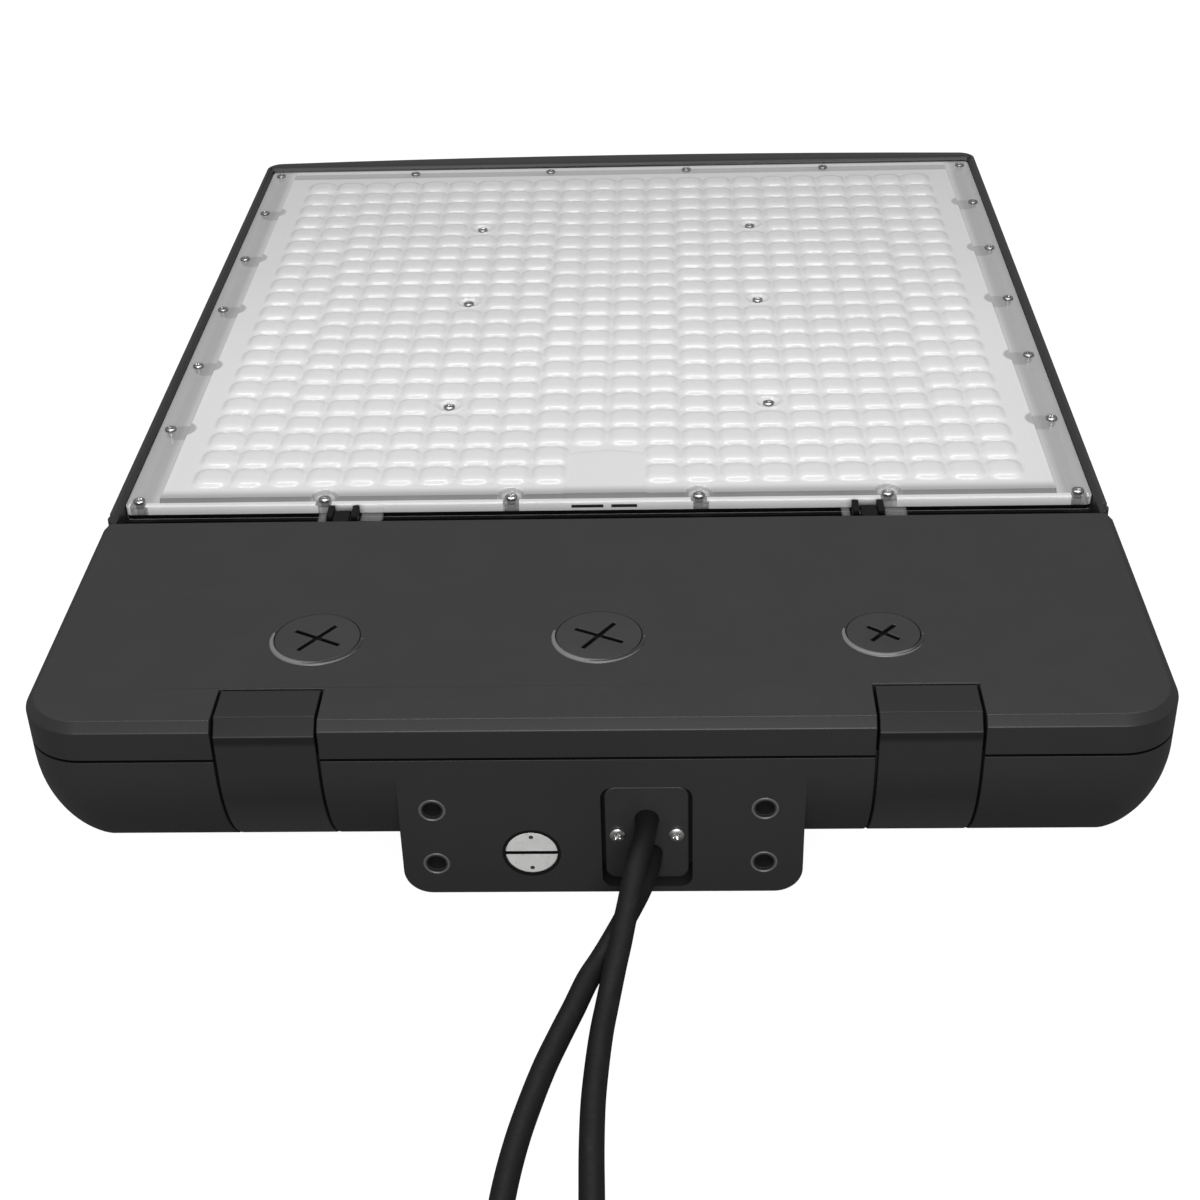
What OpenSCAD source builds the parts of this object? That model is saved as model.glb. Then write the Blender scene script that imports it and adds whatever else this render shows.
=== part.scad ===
// Shoebox area light, laid on its back with the lens side up.
// +Z up (the side that sends out the light), +Y away from the mounting end,
// +X to the right when looking at the mounting end.
// Origin: bottom centre of the fixture (without its two free cables).

/* [Overall] */
// Width of the driver compartment
body_w = 400; // [398:1:402]
// Height from the back to the door's deck
deck_h = 75; // [75:0.5:76]
// Radius of the rounded lower edges
edge_r = 54; // [53:0.5:54]
// Plan radius of the two near corners
corner_r = 22; // [21:0.5:23]

/* [Door] */
// Chamfer along the door's upper edge
door_chamfer = 3.1; // [2.5:0.1:3.5]
// Height of the parting line between door and housing
part_z = 60; // [60:0.5:60.5]
// Head radius of the left and middle door plugs
plug_r = 15.3; // [14.5:0.1:15.5]
// Head radius of the right door plug
plug_small_r = 13; // [12:0.1:14]
// Distance of the outer door plugs from the centre
plug_x = 102; // [100:0.5:104]

/* [Latches] */
// Distance of each latch strap's centre from the fixture's centre
latch_x = 113.5; // [113:0.5:114]
// Width of a latch strap
latch_w = 35; // [34:0.5:35.5]
// Wall thickness of a latch strap
latch_t = 3; // [2.6:0.1:3]

/* [Lens] */
// Distance between lenslets
lens_pitch = 15.5; // [15.4:0.05:15.6]
// Half width of the lens cover
lens_hw = 195.2; // [194.8:0.1:195.3]

/* [Mount] */
// Horizontal distance between the threaded mount holes
hole_dx = 116; // [114:0.5:118]
// Vertical distance between the threaded mount holes
hole_dz = 24; // [23:0.5:25]
// Radius of the threaded mount holes
hole_r = 3.4; // [3.2:0.1:3.5]

/* [Cables] */
// Diameter of both free cables
cable_d = 8; // [7.6:0.1:8]

/* [Hidden] */
$fn = 48;
hw = body_w / 2;
yn = -272;              // near end
yf = 272;               // far end, at the middle
bow_r = 3500;           // plan radius of the far end
H = deck_h;
R = edge_r;
// lens cover and its recess
lens_y0 = -119;
lens_y1 = 258;
field_y0 = -100;        // first row of lenslets
// hinge of the door
hinge_y = -127.5;
hinge_z = H - 4;
hinge_x = 105;
// hinge of the latch straps
lp_y = yn + R - (R - 5) * cos(70);
lp_z = R - (R - 5) * sin(70);
// mount face
mh_z = [13.7, 13.7 + hole_dz];
gx = 16.8;              // centre of the cable plate
gz = 26;
g_up = [16.8, 32];      // upper cable
g_lo = [18.0, 16.6];    // lower cable
cr = cable_d / 2;
// screws round the lens cover
side_sy = [for (i = [0:4]) -52.6 + 62.1 * i];
end_sx = [-190, -114, -38, 38, 114, 190];
field_sx = [-4.5 * lens_pitch, 4.5 * lens_pitch];
field_sy = [for (j = [4, 11, 17]) field_y0 + j * lens_pitch];
// routes of the two free cables, from the cable plate to their coils
power_pts = [[16.8, -270.6, 32], [16.5, -276, 31.5], [15, -282, 29.5], [13.5, -288, 27],
  [12, -294, 23.5], [10.6, -300, 19.7], [9.1, -306, 15.9], [7.7, -312, 12], [6.2, -318, 8.6],
  [4.6, -326, 5.4], [3.4, -334, 4.3], [2, -345, 4.1], [0.8, -360, 4.1], [0, -376, 4.1],
  [0, -394, 4.1], [0.5, -412, 4.1], [1, -430, 4.1], [1, -448, 4.1], [1, -466, 4.1]];
control_pts = [[18, -270.6, 16.6], [17.7, -276, 16.2], [16, -282, 14.8], [13.4, -288, 12.5],
  [10.2, -294, 9.9], [6.9, -300, 7.4], [3.7, -306, 5.4], [0.7, -312, 4.3], [-3.3, -321, 4.1],
  [-7.4, -334, 4.1], [-11.4, -346, 4.1], [-15.8, -360, 4.1], [-19.6, -375, 4.1],
  [-23, -391, 4.1], [-25.5, -408, 4.1], [-27, -426, 4.1], [-28, -446, 4.1], [-28, -466, 4.1]];
power_coil_c = [45, -480];
control_coil_c = [-72, -480];
coil_r = 44;
black = [0.055, 0.055, 0.06];

// ---------- helper shapes ----------

// section of an edge: outer face at x = 0, rounded below, chamfered above
module edge2d(t = 0, c = 0, D = 300) {
  difference() {
    union() {
      translate([-D, R]) square([D - t, H - R]);
      translate([-D, t]) square([D - R, H - t]);
      intersection() {
        translate([-R, R]) circle(R - t, $fn = 96);
        translate([-R - 1, t - 1]) square([R + 12, R + 2 - t]);
      }
    }
    if (c > 0) polygon([[-c, H], [1, H], [1, H - c - 1], [0, H - c]]);
  }
}
module along_x(x0, x1) { translate([x0, 0, 0]) rotate([90, 0, 90]) linear_extrude(x1 - x0) children(); }
module along_y(y0, y1) { translate([0, y1, 0]) rotate([90, 0, 0]) linear_extrude(y1 - y0) children(); }
// section along Y of the near end: 2D (y, z)
module near2d(t = 0, c = 0, D = 300) { translate([yn, 0]) mirror([1, 0]) edge2d(t, c, D); }
// near part of the envelope, up to y1
module near_env(t = 0, c = 0, y1 = -136) {
  xc = hw - corner_r;
  yc = yn + corner_r;
  intersection() {
    along_x(-hw, hw) near2d(t, c, 300);
    along_y(yn, y1) { translate([hw, 0]) edge2d(t, c, 240); translate([-hw, 0]) mirror([1, 0]) edge2d(t, c, 240); }
    union() {
      translate([-xc, yn, 0]) cube([2 * xc, y1 - yn, H]);
      translate([-hw, yc, 0]) cube([2 * hw, y1 - yc, H]);
    }
  }
  for (s = [-1, 1]) translate([s * xc, yc, 0]) rotate_extrude($fn = 96)
    intersection() { translate([corner_r, 0]) edge2d(t, c, 60); translate([0, 0]) square([corner_r, H]); }
}
module far_plan(t = 0) {
  w = hw - 1 - t;
  yc = yf - bow_r;
  yq = yc + sqrt(pow(bow_r - 8, 2) - pow(hw - 9, 2));
  difference() {
    intersection() {
      translate([-w, -300]) square([2 * w, 600]);
      translate([0, yc]) circle(bow_r - t, $fn = 1440);
    }
    for (s = [-1, 1]) difference() {
      translate([s > 0 ? hw - 9 : -hw - 11, yq]) square([20, 20]);
      translate([s * (hw - 9), yq]) circle(8 - t);
    }
  }
}
// far part of the envelope, between two heights and from y0
module far_env(t = 0, y0 = -134.2, z0 = 0, z1 = 75) {
  intersection() {
    along_y(y0, yf) { translate([hw - 1, 0]) edge2d(t, 0, 240); translate([1 - hw, 0]) mirror([1, 0]) edge2d(t, 0, 240); }
    along_x(-hw, hw) translate([yf, 0]) edge2d(t, 0, 430);
    translate([0, 0, z0]) linear_extrude(z1 - z0) far_plan(t);
  }
}
module box(x0, x1, y0, y1, z0, z1) { translate([x0, y0, z0]) cube([x1 - x0, y1 - y0, z1 - z0]); }
module rod_y(r, x, z, y0, y1) { translate([x, y1, z]) rotate([90, 0, 0]) cylinder(r = r, h = y1 - y0); }
module rod_x(r, y, z, x0, x1) { translate([x0, y, z]) rotate([0, 90, 0]) cylinder(r = r, h = x1 - x0); }
module rod_z(r, x, y, z0, z1) { translate([x, y, z0]) cylinder(r = r, h = z1 - z0); }
module rrect(w, h, r) {
  for (sx = [-1, 1]) for (sy = [-1, 1]) translate([sx * (w / 2 - r), sy * (h / 2 - r)]) circle(r);
  square([w - 2 * r, h], center = true);
  square([w, h - 2 * r], center = true);
}
// round-cornered plate in the mount face: centre x, z
module face_plate(w, h, r, x, z, y0, y1) { translate([x, y1, z]) rotate([90, 0, 0]) linear_extrude(y1 - y0) rrect(w, h, r); }
// tube swept along points: 8 sides
function unit(v) = v / norm(v);
function tang(p, i) = unit(p[min(i + 1, len(p) - 1)] - p[max(i - 1, 0)]);
function side(t) = unit(cross(t, abs(t[2]) > 0.9 ? [1, 0, 0] : [0, 0, 1]));
module tube(p, r, n = 8) {
  m = len(p);
  pts = [for (i = [0:m - 1]) let (t = tang(p, i), u = side(t), v = cross(u, t))
    for (k = [0:n - 1]) p[i] + r * (cos(360 * (k + 0.5) / n) * u + sin(360 * (k + 0.5) / n) * v)];
  faces = concat(
    [[for (k = [0:n - 1]) k]],
    [for (i = [0:m - 2]) for (k = [0:n - 1]) [i * n + k, (i + 1) * n + k, (i + 1) * n + (k + 1) % n, i * n + (k + 1) % n]],
    [[for (k = [n - 1:-1:0]) (m - 1) * n + k]]);
  polyhedron(points = pts, faces = faces, convexity = 6);
}

// ---------- castings ----------

module mount_block2d() {
  difference() {
    translate([-70, 0]) square([141.8, 59.5]);
    for (c = [-60, 61.8]) difference() {
      translate([c > 0 ? c : -71, -1]) square([11, 11]);
      translate([c, 10]) circle(10);
    }
  }
}
module latch_zone(t0, t1, rr) {
  difference() { near2d(t0, 0, 300); near2d(t1, 0, 301); }
  translate([lp_y, lp_z]) circle(rr);
}
module housing() {
  color(black) difference() {
    union() {
      difference() {
        union() {
          intersection() { near_env(0, 0, -136); box(-hw, hw, yn, -136, 0, part_z - 0.5); }
          along_y(yn, -214) mount_block2d();
        }
        // compartment
        difference() {
          intersection() { near_env(3.5, 0, -140); box(-hw, hw, yn, -140, 3.5, part_z - 3.5); }
          box(-70, 70, yn, -252, 0, 60);
          for (s = [-1, 1]) along_x(s * latch_x - 23, s * latch_x + 23) intersection() {
            latch_zone(-1, 7.5, 9.5);
            translate([yn - 2, -1]) square([52, 62]);
          }
        }
        box(-66.5, 66.5, -252, -214, 3.5, part_z - 3.5);
        // mouth
        box(-182, 182, -236, -148, part_z - 6, part_z + 1);
      }
    }
    // gasket groove
    translate([0, 0, part_z - 1.5]) linear_extrude(3) difference() {
      translate([-189.5, -243]) square([379, 101.5]);
      translate([-184.5, -238]) square([369, 91.5]);
    }
    // channels of the latch straps
    for (s = [-1, 1]) along_x(s * latch_x - latch_w / 2 - 0.9, s * latch_x + latch_w / 2 + 0.9) intersection() {
      latch_zone(-6, 3.9, 5.6);
      translate([yn - 8, lp_z - 5.6]) square([lp_y + 5.6 - yn + 8, 62]);
    }
    for (s = [-1, 1]) rod_x(2, lp_y, lp_z, s * latch_x - 22, s * latch_x + 22);
    // threaded mount holes
    for (sx = [-1, 1]) for (z = mh_z) rod_y(hole_r, sx * hole_dx / 2, z, yn - 1, yn + 16);
    // conduit entry
    rod_y(10.3, -24, 18.3, yn - 1, yn + 4);
    rod_y(8.5, -24, 18.3, yn, -251);
    // cable plate: recess, passage and screw holes
    face_plate(32, 44.6, 4.5, gx, gz - 1, yn - 1, yn + 10);
    face_plate(16, 31, 7.5, 17.4, 24.3, yn, -251);
    for (s = [-1, 1]) rod_y(1.5, gx + s * 10.4, gz - 0.5, yn, yn + 18);
    // wire hole and bolt holes towards the light-emitting part
    rod_y(6, -80, 30, -142, -134);
    for (x = [-150, -50, 50, 150]) rod_y(2.6, x, 44, -142, -134);
    // driver screws and ground screw
    for (x = driver_sx) for (y = driver_sy) rod_z(2, x, y, 1.5, 4);
    rod_z(2, -66, -158, 1.5, 4);
  }
}
driver_sx = [-43, 140];
driver_sy = [-202, -170];

module led_frame() {
  color(black) difference() {
    union() {
      // plate, rim and skirt
      difference() {
        far_env(0, -134.2, 0, H);
        box(-lens_hw - 0.3, lens_hw + 0.3, -140, lens_y1 + 0.5, 66, H + 1);
        // inner slope of the rim
        for (s = [-1, 1]) along_y(-140, lens_y1 + 2)
          polygon([[s * (lens_hw + 0.2), H + 0.1], [s * (lens_hw + 2.1), H + 0.1], [s * (lens_hw + 0.2), H - 1.8]]);
        along_x(-lens_hw - 1.7, lens_hw + 1.7)
          polygon([[lens_y1 + 0.4, H + 0.1], [lens_y1 + 4, H + 0.1], [lens_y1 + 0.4, H - 1.9]]);
        // hollow below
        far_env(3, -131.2, 0, 62);
        box(-hw, hw, -140, yf + 1, -1, 14);
      }
      intersection() { far_env(0.5, -136, 0, 62); box(-hw, hw, -136, -131.2, 0, 59.4); }
      box(-190, 190, -134.2, -131.2, 58, 63);
      // ears of the door's hinge
      for (s = [-1, 1]) for (d = [-4.9, 4.9]) along_x(s * hinge_x + d - 1.3, s * hinge_x + d + 1.3) {
        translate([hinge_y - 3.5, 64]) square([8.8, hinge_z + 3.6 - 64]);
      }
      // bosses of the rim screws on the underside
      for (x = end_sx) for (y = [-115.2, 251]) rod_z(4, x, y, 58, 63);
      for (s = [-1, 1]) for (y = side_sy) rod_z(4, s * 190, y, 58, 63);
    }
    for (s = [-1, 1]) rod_x(1.5, hinge_y, hinge_z, s * hinge_x - 8, s * hinge_x + 8);
    for (x = end_sx) for (y = [-115.2, 251]) rod_z(1.5, x, y, 59, 67);
    for (s = [-1, 1]) for (y = side_sy) rod_z(1.5, s * 190, y, 59, 67);
    for (x = field_sx) for (y = field_sy) rod_z(1.5, x, y, 60, 67);
    for (x = [-150, -50, 50, 150]) rod_y(2.1, x, 44, -137, -130);
    rod_y(6, -80, 30, -137, -130);
    // notches at the near ends of the rim
    for (s = [-1, 1]) difference() {
      translate([s * (hw - 3.5), -131.2, H / 2 + 20]) cube([5.01, 6.02, 60], center = true);
      rod_z(3, s * (hw - 4), -131.2, 0, 90);
      box(s > 0 ? 0 : -(hw - 4), s > 0 ? hw - 4 : 0, -140, -120, 0, 90);
    }
  }
}

sink_x = [for (i = [-8:8]) i * 20];
module heat_sink_plate() {
  color([0.09, 0.09, 0.095]) difference() {
    box(-172, 172, -109, 241, 59, 62);
    for (x = field_sx) for (y = field_sy) rod_z(1.5, x, y, 58, 63);
    // grooves that the fins are pressed into
    for (x = sink_x) box(x - 1, x + 1, -110, 242, 58, 60);
  }
}
module heat_sink_fins() {
  color([0.09, 0.09, 0.095]) intersection() {
    far_env(0, -131, 0, 62);
    for (x = sink_x) box(x - 1, x + 1, -109, 241, -1, 60);
  }
}

module frame_bolts() {
  color([0.6, 0.6, 0.6]) for (x = [-150, -50, 50, 150]) {
    rod_y(2.1, x, 44, -140, -129);
    rod_y(4.2, x, 44, -143.5, -140);
  }
}

// ---------- light-emitting part ----------

module board(x0, x1) {
  color([0.92, 0.92, 0.9]) difference() {
    box(x0, x1, -109, 238, 66, 67.6);
    for (x = field_sx) for (y = field_sy) rod_z(1.8, x, y, 65, 69);
  }
}
module led_board_left() { board(-181, -31.5); }
module led_board_middle() { board(-30.5, 30.5); }
module led_board_right() { board(31.5, 181); }

module rim_holes(r, z0, z1) {
  for (x = end_sx) for (y = [-115.2, 251]) rod_z(r, x, y, z0, z1);
  for (s = [-1, 1]) for (y = side_sy) rod_z(r, s * 190, y, z0, z1);
}
module lens_gasket() {
  color([0.72, 0.72, 0.7]) difference() {
    box(-lens_hw + 0.4, lens_hw - 0.4, lens_y0 + 0.4, lens_y1 - 0.4, 66, 67.2);
    box(-182.5, 182.5, -110.5, 240, 65, 68);
    rim_holes(1.8, 65, 68);
  }
}
module lens_cover() {
  color([0.85, 0.86, 0.87, 0.55]) difference() {
    union() {
      difference() {
        union() {
          box(-lens_hw, lens_hw, lens_y0, lens_y1, 67.2, 73);
          box(-181, 181, -113.5, 240, 72, 75);
          box(-170.5, 170.5, field_y0 - 0.5 * lens_pitch, field_y0 + 21.5 * lens_pitch, 74, 77);
        }
        difference() {
          box(-lens_hw + 2, lens_hw - 2, lens_y0 + 2, lens_y1 - 2, 66, 70.6);
          rim_holes(4.5, 60, 80);
        }
        box(-179, 179, -111, 238, 66, 73);
      }
      // tongues beside the door's hinge
      for (s = [-1, 1]) for (t = [[7, 15.5], [-10.2, -7]])
        box(s * hinge_x + t[0], s * hinge_x + t[1], -133.6, lens_y0 + 1, 68.6, 71.6);
      // posts that carry the cover at the screws in its middle
      for (x = field_sx) for (y = field_sy) rod_z(5.6, x, y, 67.6, 75);
    }
    rim_holes(1.7, 60, 80);
    rim_holes(3.8, 73, 80);
    for (x = field_sx) for (y = field_sy) { rod_z(1.7, x, y, 60, 80); rod_z(4.4, x, y, 74.5, 80); }
  }
}
module pan_screw(x, y, z0, z1, r, hr, hh) {
  difference() {
    union() { rod_z(r, x, y, z0, z1); rod_z(hr, x, y, z1, z1 + hh); }
    translate([x, y, z1 + hh]) for (a = [0, 90]) rotate([0, 0, a]) cube([hr * 1.1, 0.6, 1.6], center = true);
  }
}
module lens_rim_screws() {
  color([0.55, 0.55, 0.55]) {
    for (x = end_sx) for (y = [-115.2, 251]) pan_screw(x, y, 60, 73, 1.5, 3, 1.8);
    for (s = [-1, 1]) for (y = side_sy) pan_screw(s * 190, y, 60, 73, 1.5, 3, 1.8);
  }
}
module lens_field_screws() {
  color([0.55, 0.55, 0.55]) for (x = field_sx) for (y = field_sy) pan_screw(x, y, 60.5, 74.5, 1.5, 3, 1.8);
}

// ---------- door ----------

module latch_notch(z0 = 50) {
  for (s = [-1, 1]) box(s * latch_x - latch_w / 2 - 0.9, s * latch_x + latch_w / 2 + 0.9, yn - 1, -250.3, z0, H + 1);
}
module door_hinge_arm(s) {
  along_x(s * hinge_x - 3.2, s * hinge_x + 3.2) {
    translate([hinge_y, hinge_z]) circle(3.5);
    translate([-141, hinge_z - 1.5]) square([141 + hinge_y, 5]);
  }
}
plugs = [[-plug_x, plug_r], [0, plug_r], [plug_x, plug_small_r]];
plug_y = -218.8;
module lip(x, r) {
  translate([x, plug_y, H]) rotate([-2.2, 0, 0]) translate([0, 0, -2]) difference() {
    cylinder(r = r + 1.9, h = 2);
    translate([0, 0, -1]) cylinder(r = r + 0.5, h = 4);
  }
}
module door() {
  color(black) difference() {
    union() {
      difference() {
        intersection() { near_env(0, door_chamfer, -135.6); box(-hw, hw, yn, -135.6, part_z + 0.5, H); }
        intersection() { near_env(3, 0, -138.6); box(-hw, hw, yn, -138.6, part_z - 1, H - 3); }
        box(-hw + 3, hw - 3, -139, -130, part_z - 1, H - 7);
      }
      // wall behind each latch strap
      for (s = [-1, 1]) intersection() {
        near_env(0, door_chamfer, -200);
        box(s * latch_x - latch_w / 2 - 3.4, s * latch_x + latch_w / 2 + 3.4, yn, -247.8, part_z + 0.5, H - 1);
      }
      // rib that presses on the gasket
      translate([0, 0, part_z + 0.9]) linear_extrude(H - 2 - part_z - 0.9) difference() {
        translate([-188, -241.5]) square([376, 98.5]);
        translate([-186, -239.5]) square([372, 94.5]);
      }
      // sockets of the plugs
      for (p = plugs) { rod_z(p[1] + 2.2, p[0], plug_y, H - 8, H - 2); lip(p[0], p[1]); }
      for (s = [-1, 1]) door_hinge_arm(s);
    }
    latch_notch();
    for (p = plugs) {
      rod_z(p[1] + 0.5, p[0], plug_y, H - 3.3, H + 2);
      rod_z(p[1] - 3.9, p[0], plug_y, H - 9, H);
    }
    for (s = [-1, 1]) rod_x(1.6, hinge_y, hinge_z, s * hinge_x - 6, s * hinge_x + 6);
  }
}
module door_plug(x, r, slot, a1, a2) {
  color(black) translate([x, plug_y, 0]) difference() {
    union() {
      translate([0, 0, H - 2.5]) cylinder(r = r, h = 2.6);
      translate([0, 0, H - 9]) cylinder(r = r - 4.1, h = 7);
    }
    translate([0, 0, H + 0.1]) for (a = [a1, a2]) rotate([0, 0, a]) cube([slot, 1.7, 3], center = true);
  }
}
module door_plug_left() { door_plug(-plug_x, plug_r, 19.5, -29, 53); }
module door_plug_middle() { door_plug(0, plug_r, 19.5, -27, 55); }
module door_plug_right() { door_plug(plug_x, plug_small_r, 13.5, -38, 48); }
module door_plug_seals() {
  color([0.03, 0.03, 0.03]) for (p = plugs) difference() {
    rod_z(p[1] - 0.3, p[0], plug_y, H - 3.3, H - 2.5);
    rod_z(p[1] - 3.9, p[0], plug_y, H - 4, H);
  }
}
module door_gasket() {
  color([0.03, 0.03, 0.03]) translate([0, 0, part_z - 1.5]) linear_extrude(2.1) difference() {
    translate([-189.3, -242.8]) square([378.6, 101.1]);
    translate([-184.7, -238.2]) square([369.4, 91.9]);
  }
}
module door_hinge_pins() {
  color([0.6, 0.6, 0.6]) for (s = [-1, 1]) rod_x(1.5, hinge_y, hinge_z, s * hinge_x - 6.2, s * hinge_x + 6.2);
}

// ---------- latch straps ----------

// inner surface of a strap
module strap_in() {
  t = latch_t;
  intersection() {
    near2d(t, 0, 320);
    polygon([[yn - 1, -1], [yn - 1, H - 5 - 0.414 * t], [yn + t, H - 5 - 0.414 * t],
      [yn + 5 + 0.414 * t, H - t], [yn + 400, H - t], [yn + 400, -1]]);
  }
}
module latch(s) {
  color([0.05, 0.05, 0.055]) difference() {
    along_x(s * latch_x - latch_w / 2, s * latch_x + latch_w / 2) {
      intersection() {
        difference() { near2d(0, 5, 300); strap_in(); }
        union() {
          translate([yn - 1, R - 0.5]) square([21.8, H]);
          polygon([[yn + R, R], [yn + R - 100 * cos(70), R - 100 * sin(70)], [yn - 60, R - 94], [yn - 60, R]]);
        }
      }
      translate([lp_y, lp_z]) circle(5);
    }
    rod_x(2.08, lp_y, lp_z, s * latch_x - 30, s * latch_x + 30);
  }
}
module latch_left() { latch(-1); }
module latch_right() { latch(1); }
module latch_pins() {
  color([0.6, 0.6, 0.6]) for (s = [-1, 1]) rod_x(2, lp_y, lp_z, s * latch_x - 21.5, s * latch_x + 21.5);
}

// ---------- inside the compartment ----------

module led_driver() {
  color([0.75, 0.76, 0.78]) difference() {
    union() {
      box(-36, 133, -220, -152, 5.5, 41);
      box(-49, 146, -210, -162, 3.5, 6);
    }
    for (x = driver_sx) for (y = driver_sy) rod_z(2.3, x, y, 3, 7);
  }
}
module driver_screws() {
  color([0.6, 0.6, 0.6]) for (x = driver_sx) for (y = driver_sy) pan_screw(x, y, 1.5, 6, 2, 3.6, 2.4);
}
module surge_protector() {
  color([0.1, 0.1, 0.1]) union() {
    box(-139, -89, -206, -176, 3.5, 27);
    box(-145, -83, -198, -184, 3.5, 5.5);
  }
}
module terminal_block() {
  color([0.88, 0.88, 0.85]) difference() {
    box(-144, -84, -171, -153, 3.5, 20);
    for (i = [0:4]) { rod_z(2.6, -137.5 + 11.75 * i, -165, 14, 21); rod_z(2.2, -137.5 + 11.75 * i, -157, 14, 21); }
  }
}
module ground_screw() {
  color([0.2, 0.5, 0.25]) pan_screw(-66, -158, 1.5, 5, 2, 4.2, 2.6);
}
module lead(p) { tube(p, 1.25, 8); }
module internal_leads() {
  color([0.12, 0.12, 0.12]) lead([[15, -245.8, 32], [14.6, -243.8, 32.2], [10, -241.5, 33], [4, -239.5, 32.8], [-2, -237.5, 31], [-12, -235, 27], [-30, -233, 22],
    [-52, -228, 20], [-68, -220, 20], [-76, -206, 20], [-78, -192, 21], [-79, -180, 22], [-82, -171, 22], [-90.5, -165, 21.3]]);
  color([0.9, 0.9, 0.9]) lead([[17.7, -245.8, 33.8], [17.4, -243.6, 34.6], [12, -239.5, 37], [4, -236, 37.5], [-4, -233, 35], [-14, -231, 33], [-32, -229, 31],
    [-50, -223, 29], [-63, -213, 28], [-71, -200, 27.5], [-74, -186, 28], [-80, -175, 29], [-90, -169, 27], [-102.25, -165, 21.3]]);
  color([0.15, 0.5, 0.2]) lead([[17.7, -245.8, 30.2], [17.6, -243.8, 29.6], [14, -242.2, 26.5], [8, -241, 22.5], [-6, -239, 17], [-24, -236, 12], [-44, -228, 9],
    [-55, -212, 8.5], [-60, -190, 8], [-64, -172, 8], [-65, -164.5, 8.8]]);
  color([0.5, 0.3, 0.6]) lead([[16.3, -245.8, 16.6], [15.9, -243.8, 16.2], [11, -240, 13.5], [1, -234, 12], [-8, -227, 13], [-20, -225, 14], [-33, -225.5, 16],
    [-43, -216, 19], [-43, -202, 23], [-41.5, -192, 25], [-39.6, -187.6, 26], [-38, -187, 26], [-36.4, -187, 26]]);
  color([0.6, 0.6, 0.62]) lead([[19.7, -245.8, 16.6], [19.4, -243.2, 16.8], [15, -238, 17.8], [6, -233, 17], [-6, -230, 18], [-20, -227, 21], [-34, -225, 24],
    [-41, -216, 28], [-43, -204, 31], [-42, -190, 33], [-40.6, -182.5, 33], [-38.2, -181, 33], [-36.4, -181, 33]]);
  color([0.7, 0.15, 0.12]) lead([[-36.4, -166, 30], [-38.4, -165.8, 30.1], [-43, -163, 31], [-52, -157, 31], [-62, -151, 31], [-71, -147, 31], [-77, -144, 30.5],
    [-79.5, -139, 30], [-80, -136.4, 30]]);
}

// ---------- mount face ----------

module conduit_plug() {
  color([0.78, 0.78, 0.78]) difference() {
    union() { rod_y(9.8, -24, 18.3, yn + 0.3, yn + 3.2); rod_y(8.4, -24, 18.3, yn + 3.2, yn + 17); }
    box(-34.5, -13.5, yn - 1, yn + 1.7, 17.6, 19);
  }
}
module conduit_plug_seal() {
  color([0.03, 0.03, 0.03]) difference() {
    rod_y(9.9, -24, 18.3, yn + 3.2, yn + 4);
    rod_y(8.5, -24, 18.3, yn + 2, yn + 6);
  }
}
module gland_plate() {
  color(black) difference() {
    face_plate(29.4, 40.6, 4, gx, gz, yn + 1.4, yn + 6);
    rod_y(cr + 0.05, g_up[0], g_up[1], yn, yn + 7);
    rod_y(cr + 0.05, g_lo[0], g_lo[1], yn, yn + 7);
    for (s = [-1, 1]) rod_y(1.8, gx + s * 10.4, gz - 0.5, yn, yn + 7);
  }
}
module gland_seal() {
  color([0.03, 0.03, 0.03]) difference() {
    face_plate(28, 39, 4, gx, gz, yn + 6, yn + 10);
    rod_y(cr + 0.05, g_up[0], g_up[1], yn, yn + 11);
    rod_y(cr + 0.05, g_lo[0], g_lo[1], yn, yn + 11);
    for (s = [-1, 1]) rod_y(1.8, gx + s * 10.4, gz - 0.5, yn, yn + 11);
  }
}
module gland_screws() {
  color([0.75, 0.75, 0.75]) for (s = [-1, 1]) translate([gx + s * 10.4, 0, gz - 0.5]) difference() {
    union() { rod_y(1.5, 0, 0, yn + 1.4, yn + 17); rod_y(2.8, 0, 0, yn, yn + 1.4); }
    translate([0, yn, 0]) for (a = [45, 135]) rotate([0, a, 0]) cube([3.4, 2, 0.7], center = true);
  }
}
module cable_stubs() {
  color([0.04, 0.04, 0.04]) {
    rod_y(cr, g_up[0], g_up[1], yn + 1.4, -246);
    rod_y(cr, g_lo[0], g_lo[1], yn + 1.4, -246);
  }
}

// ---------- free cables ----------

module coil(c) {
  translate([c[0], c[1], 0]) rotate_extrude($fn = 96) translate([coil_r, 8.7]) rrect(9.4, 17.2, 3);
}
module power_cord() { color([0.035, 0.035, 0.035]) tube(power_pts, cr, 10); }
module power_cord_coil() { color([0.035, 0.035, 0.035]) coil(power_coil_c); }
module control_cord() { color([0.035, 0.035, 0.035]) tube(control_pts, cr, 10); }
module control_cord_coil() { color([0.035, 0.035, 0.035]) coil(control_coil_c); }

housing();
led_frame();
heat_sink_plate();
heat_sink_fins();
frame_bolts();
led_board_left();
led_board_middle();
led_board_right();
lens_gasket();
lens_cover();
lens_rim_screws();
lens_field_screws();
door();
door_gasket();
door_plug_left();
door_plug_middle();
door_plug_right();
door_plug_seals();
door_hinge_pins();
latch_left();
latch_right();
latch_pins();
led_driver();
driver_screws();
surge_protector();
terminal_block();
ground_screw();
internal_leads();
conduit_plug();
conduit_plug_seal();
gland_plate();
gland_seal();
gland_screws();
cable_stubs();
power_cord();
power_cord_coil();
control_cord();
control_cord_coil();
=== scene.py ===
import bpy
import bmesh
import math
import numpy as np
from mathutils import Matrix, Vector


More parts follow.
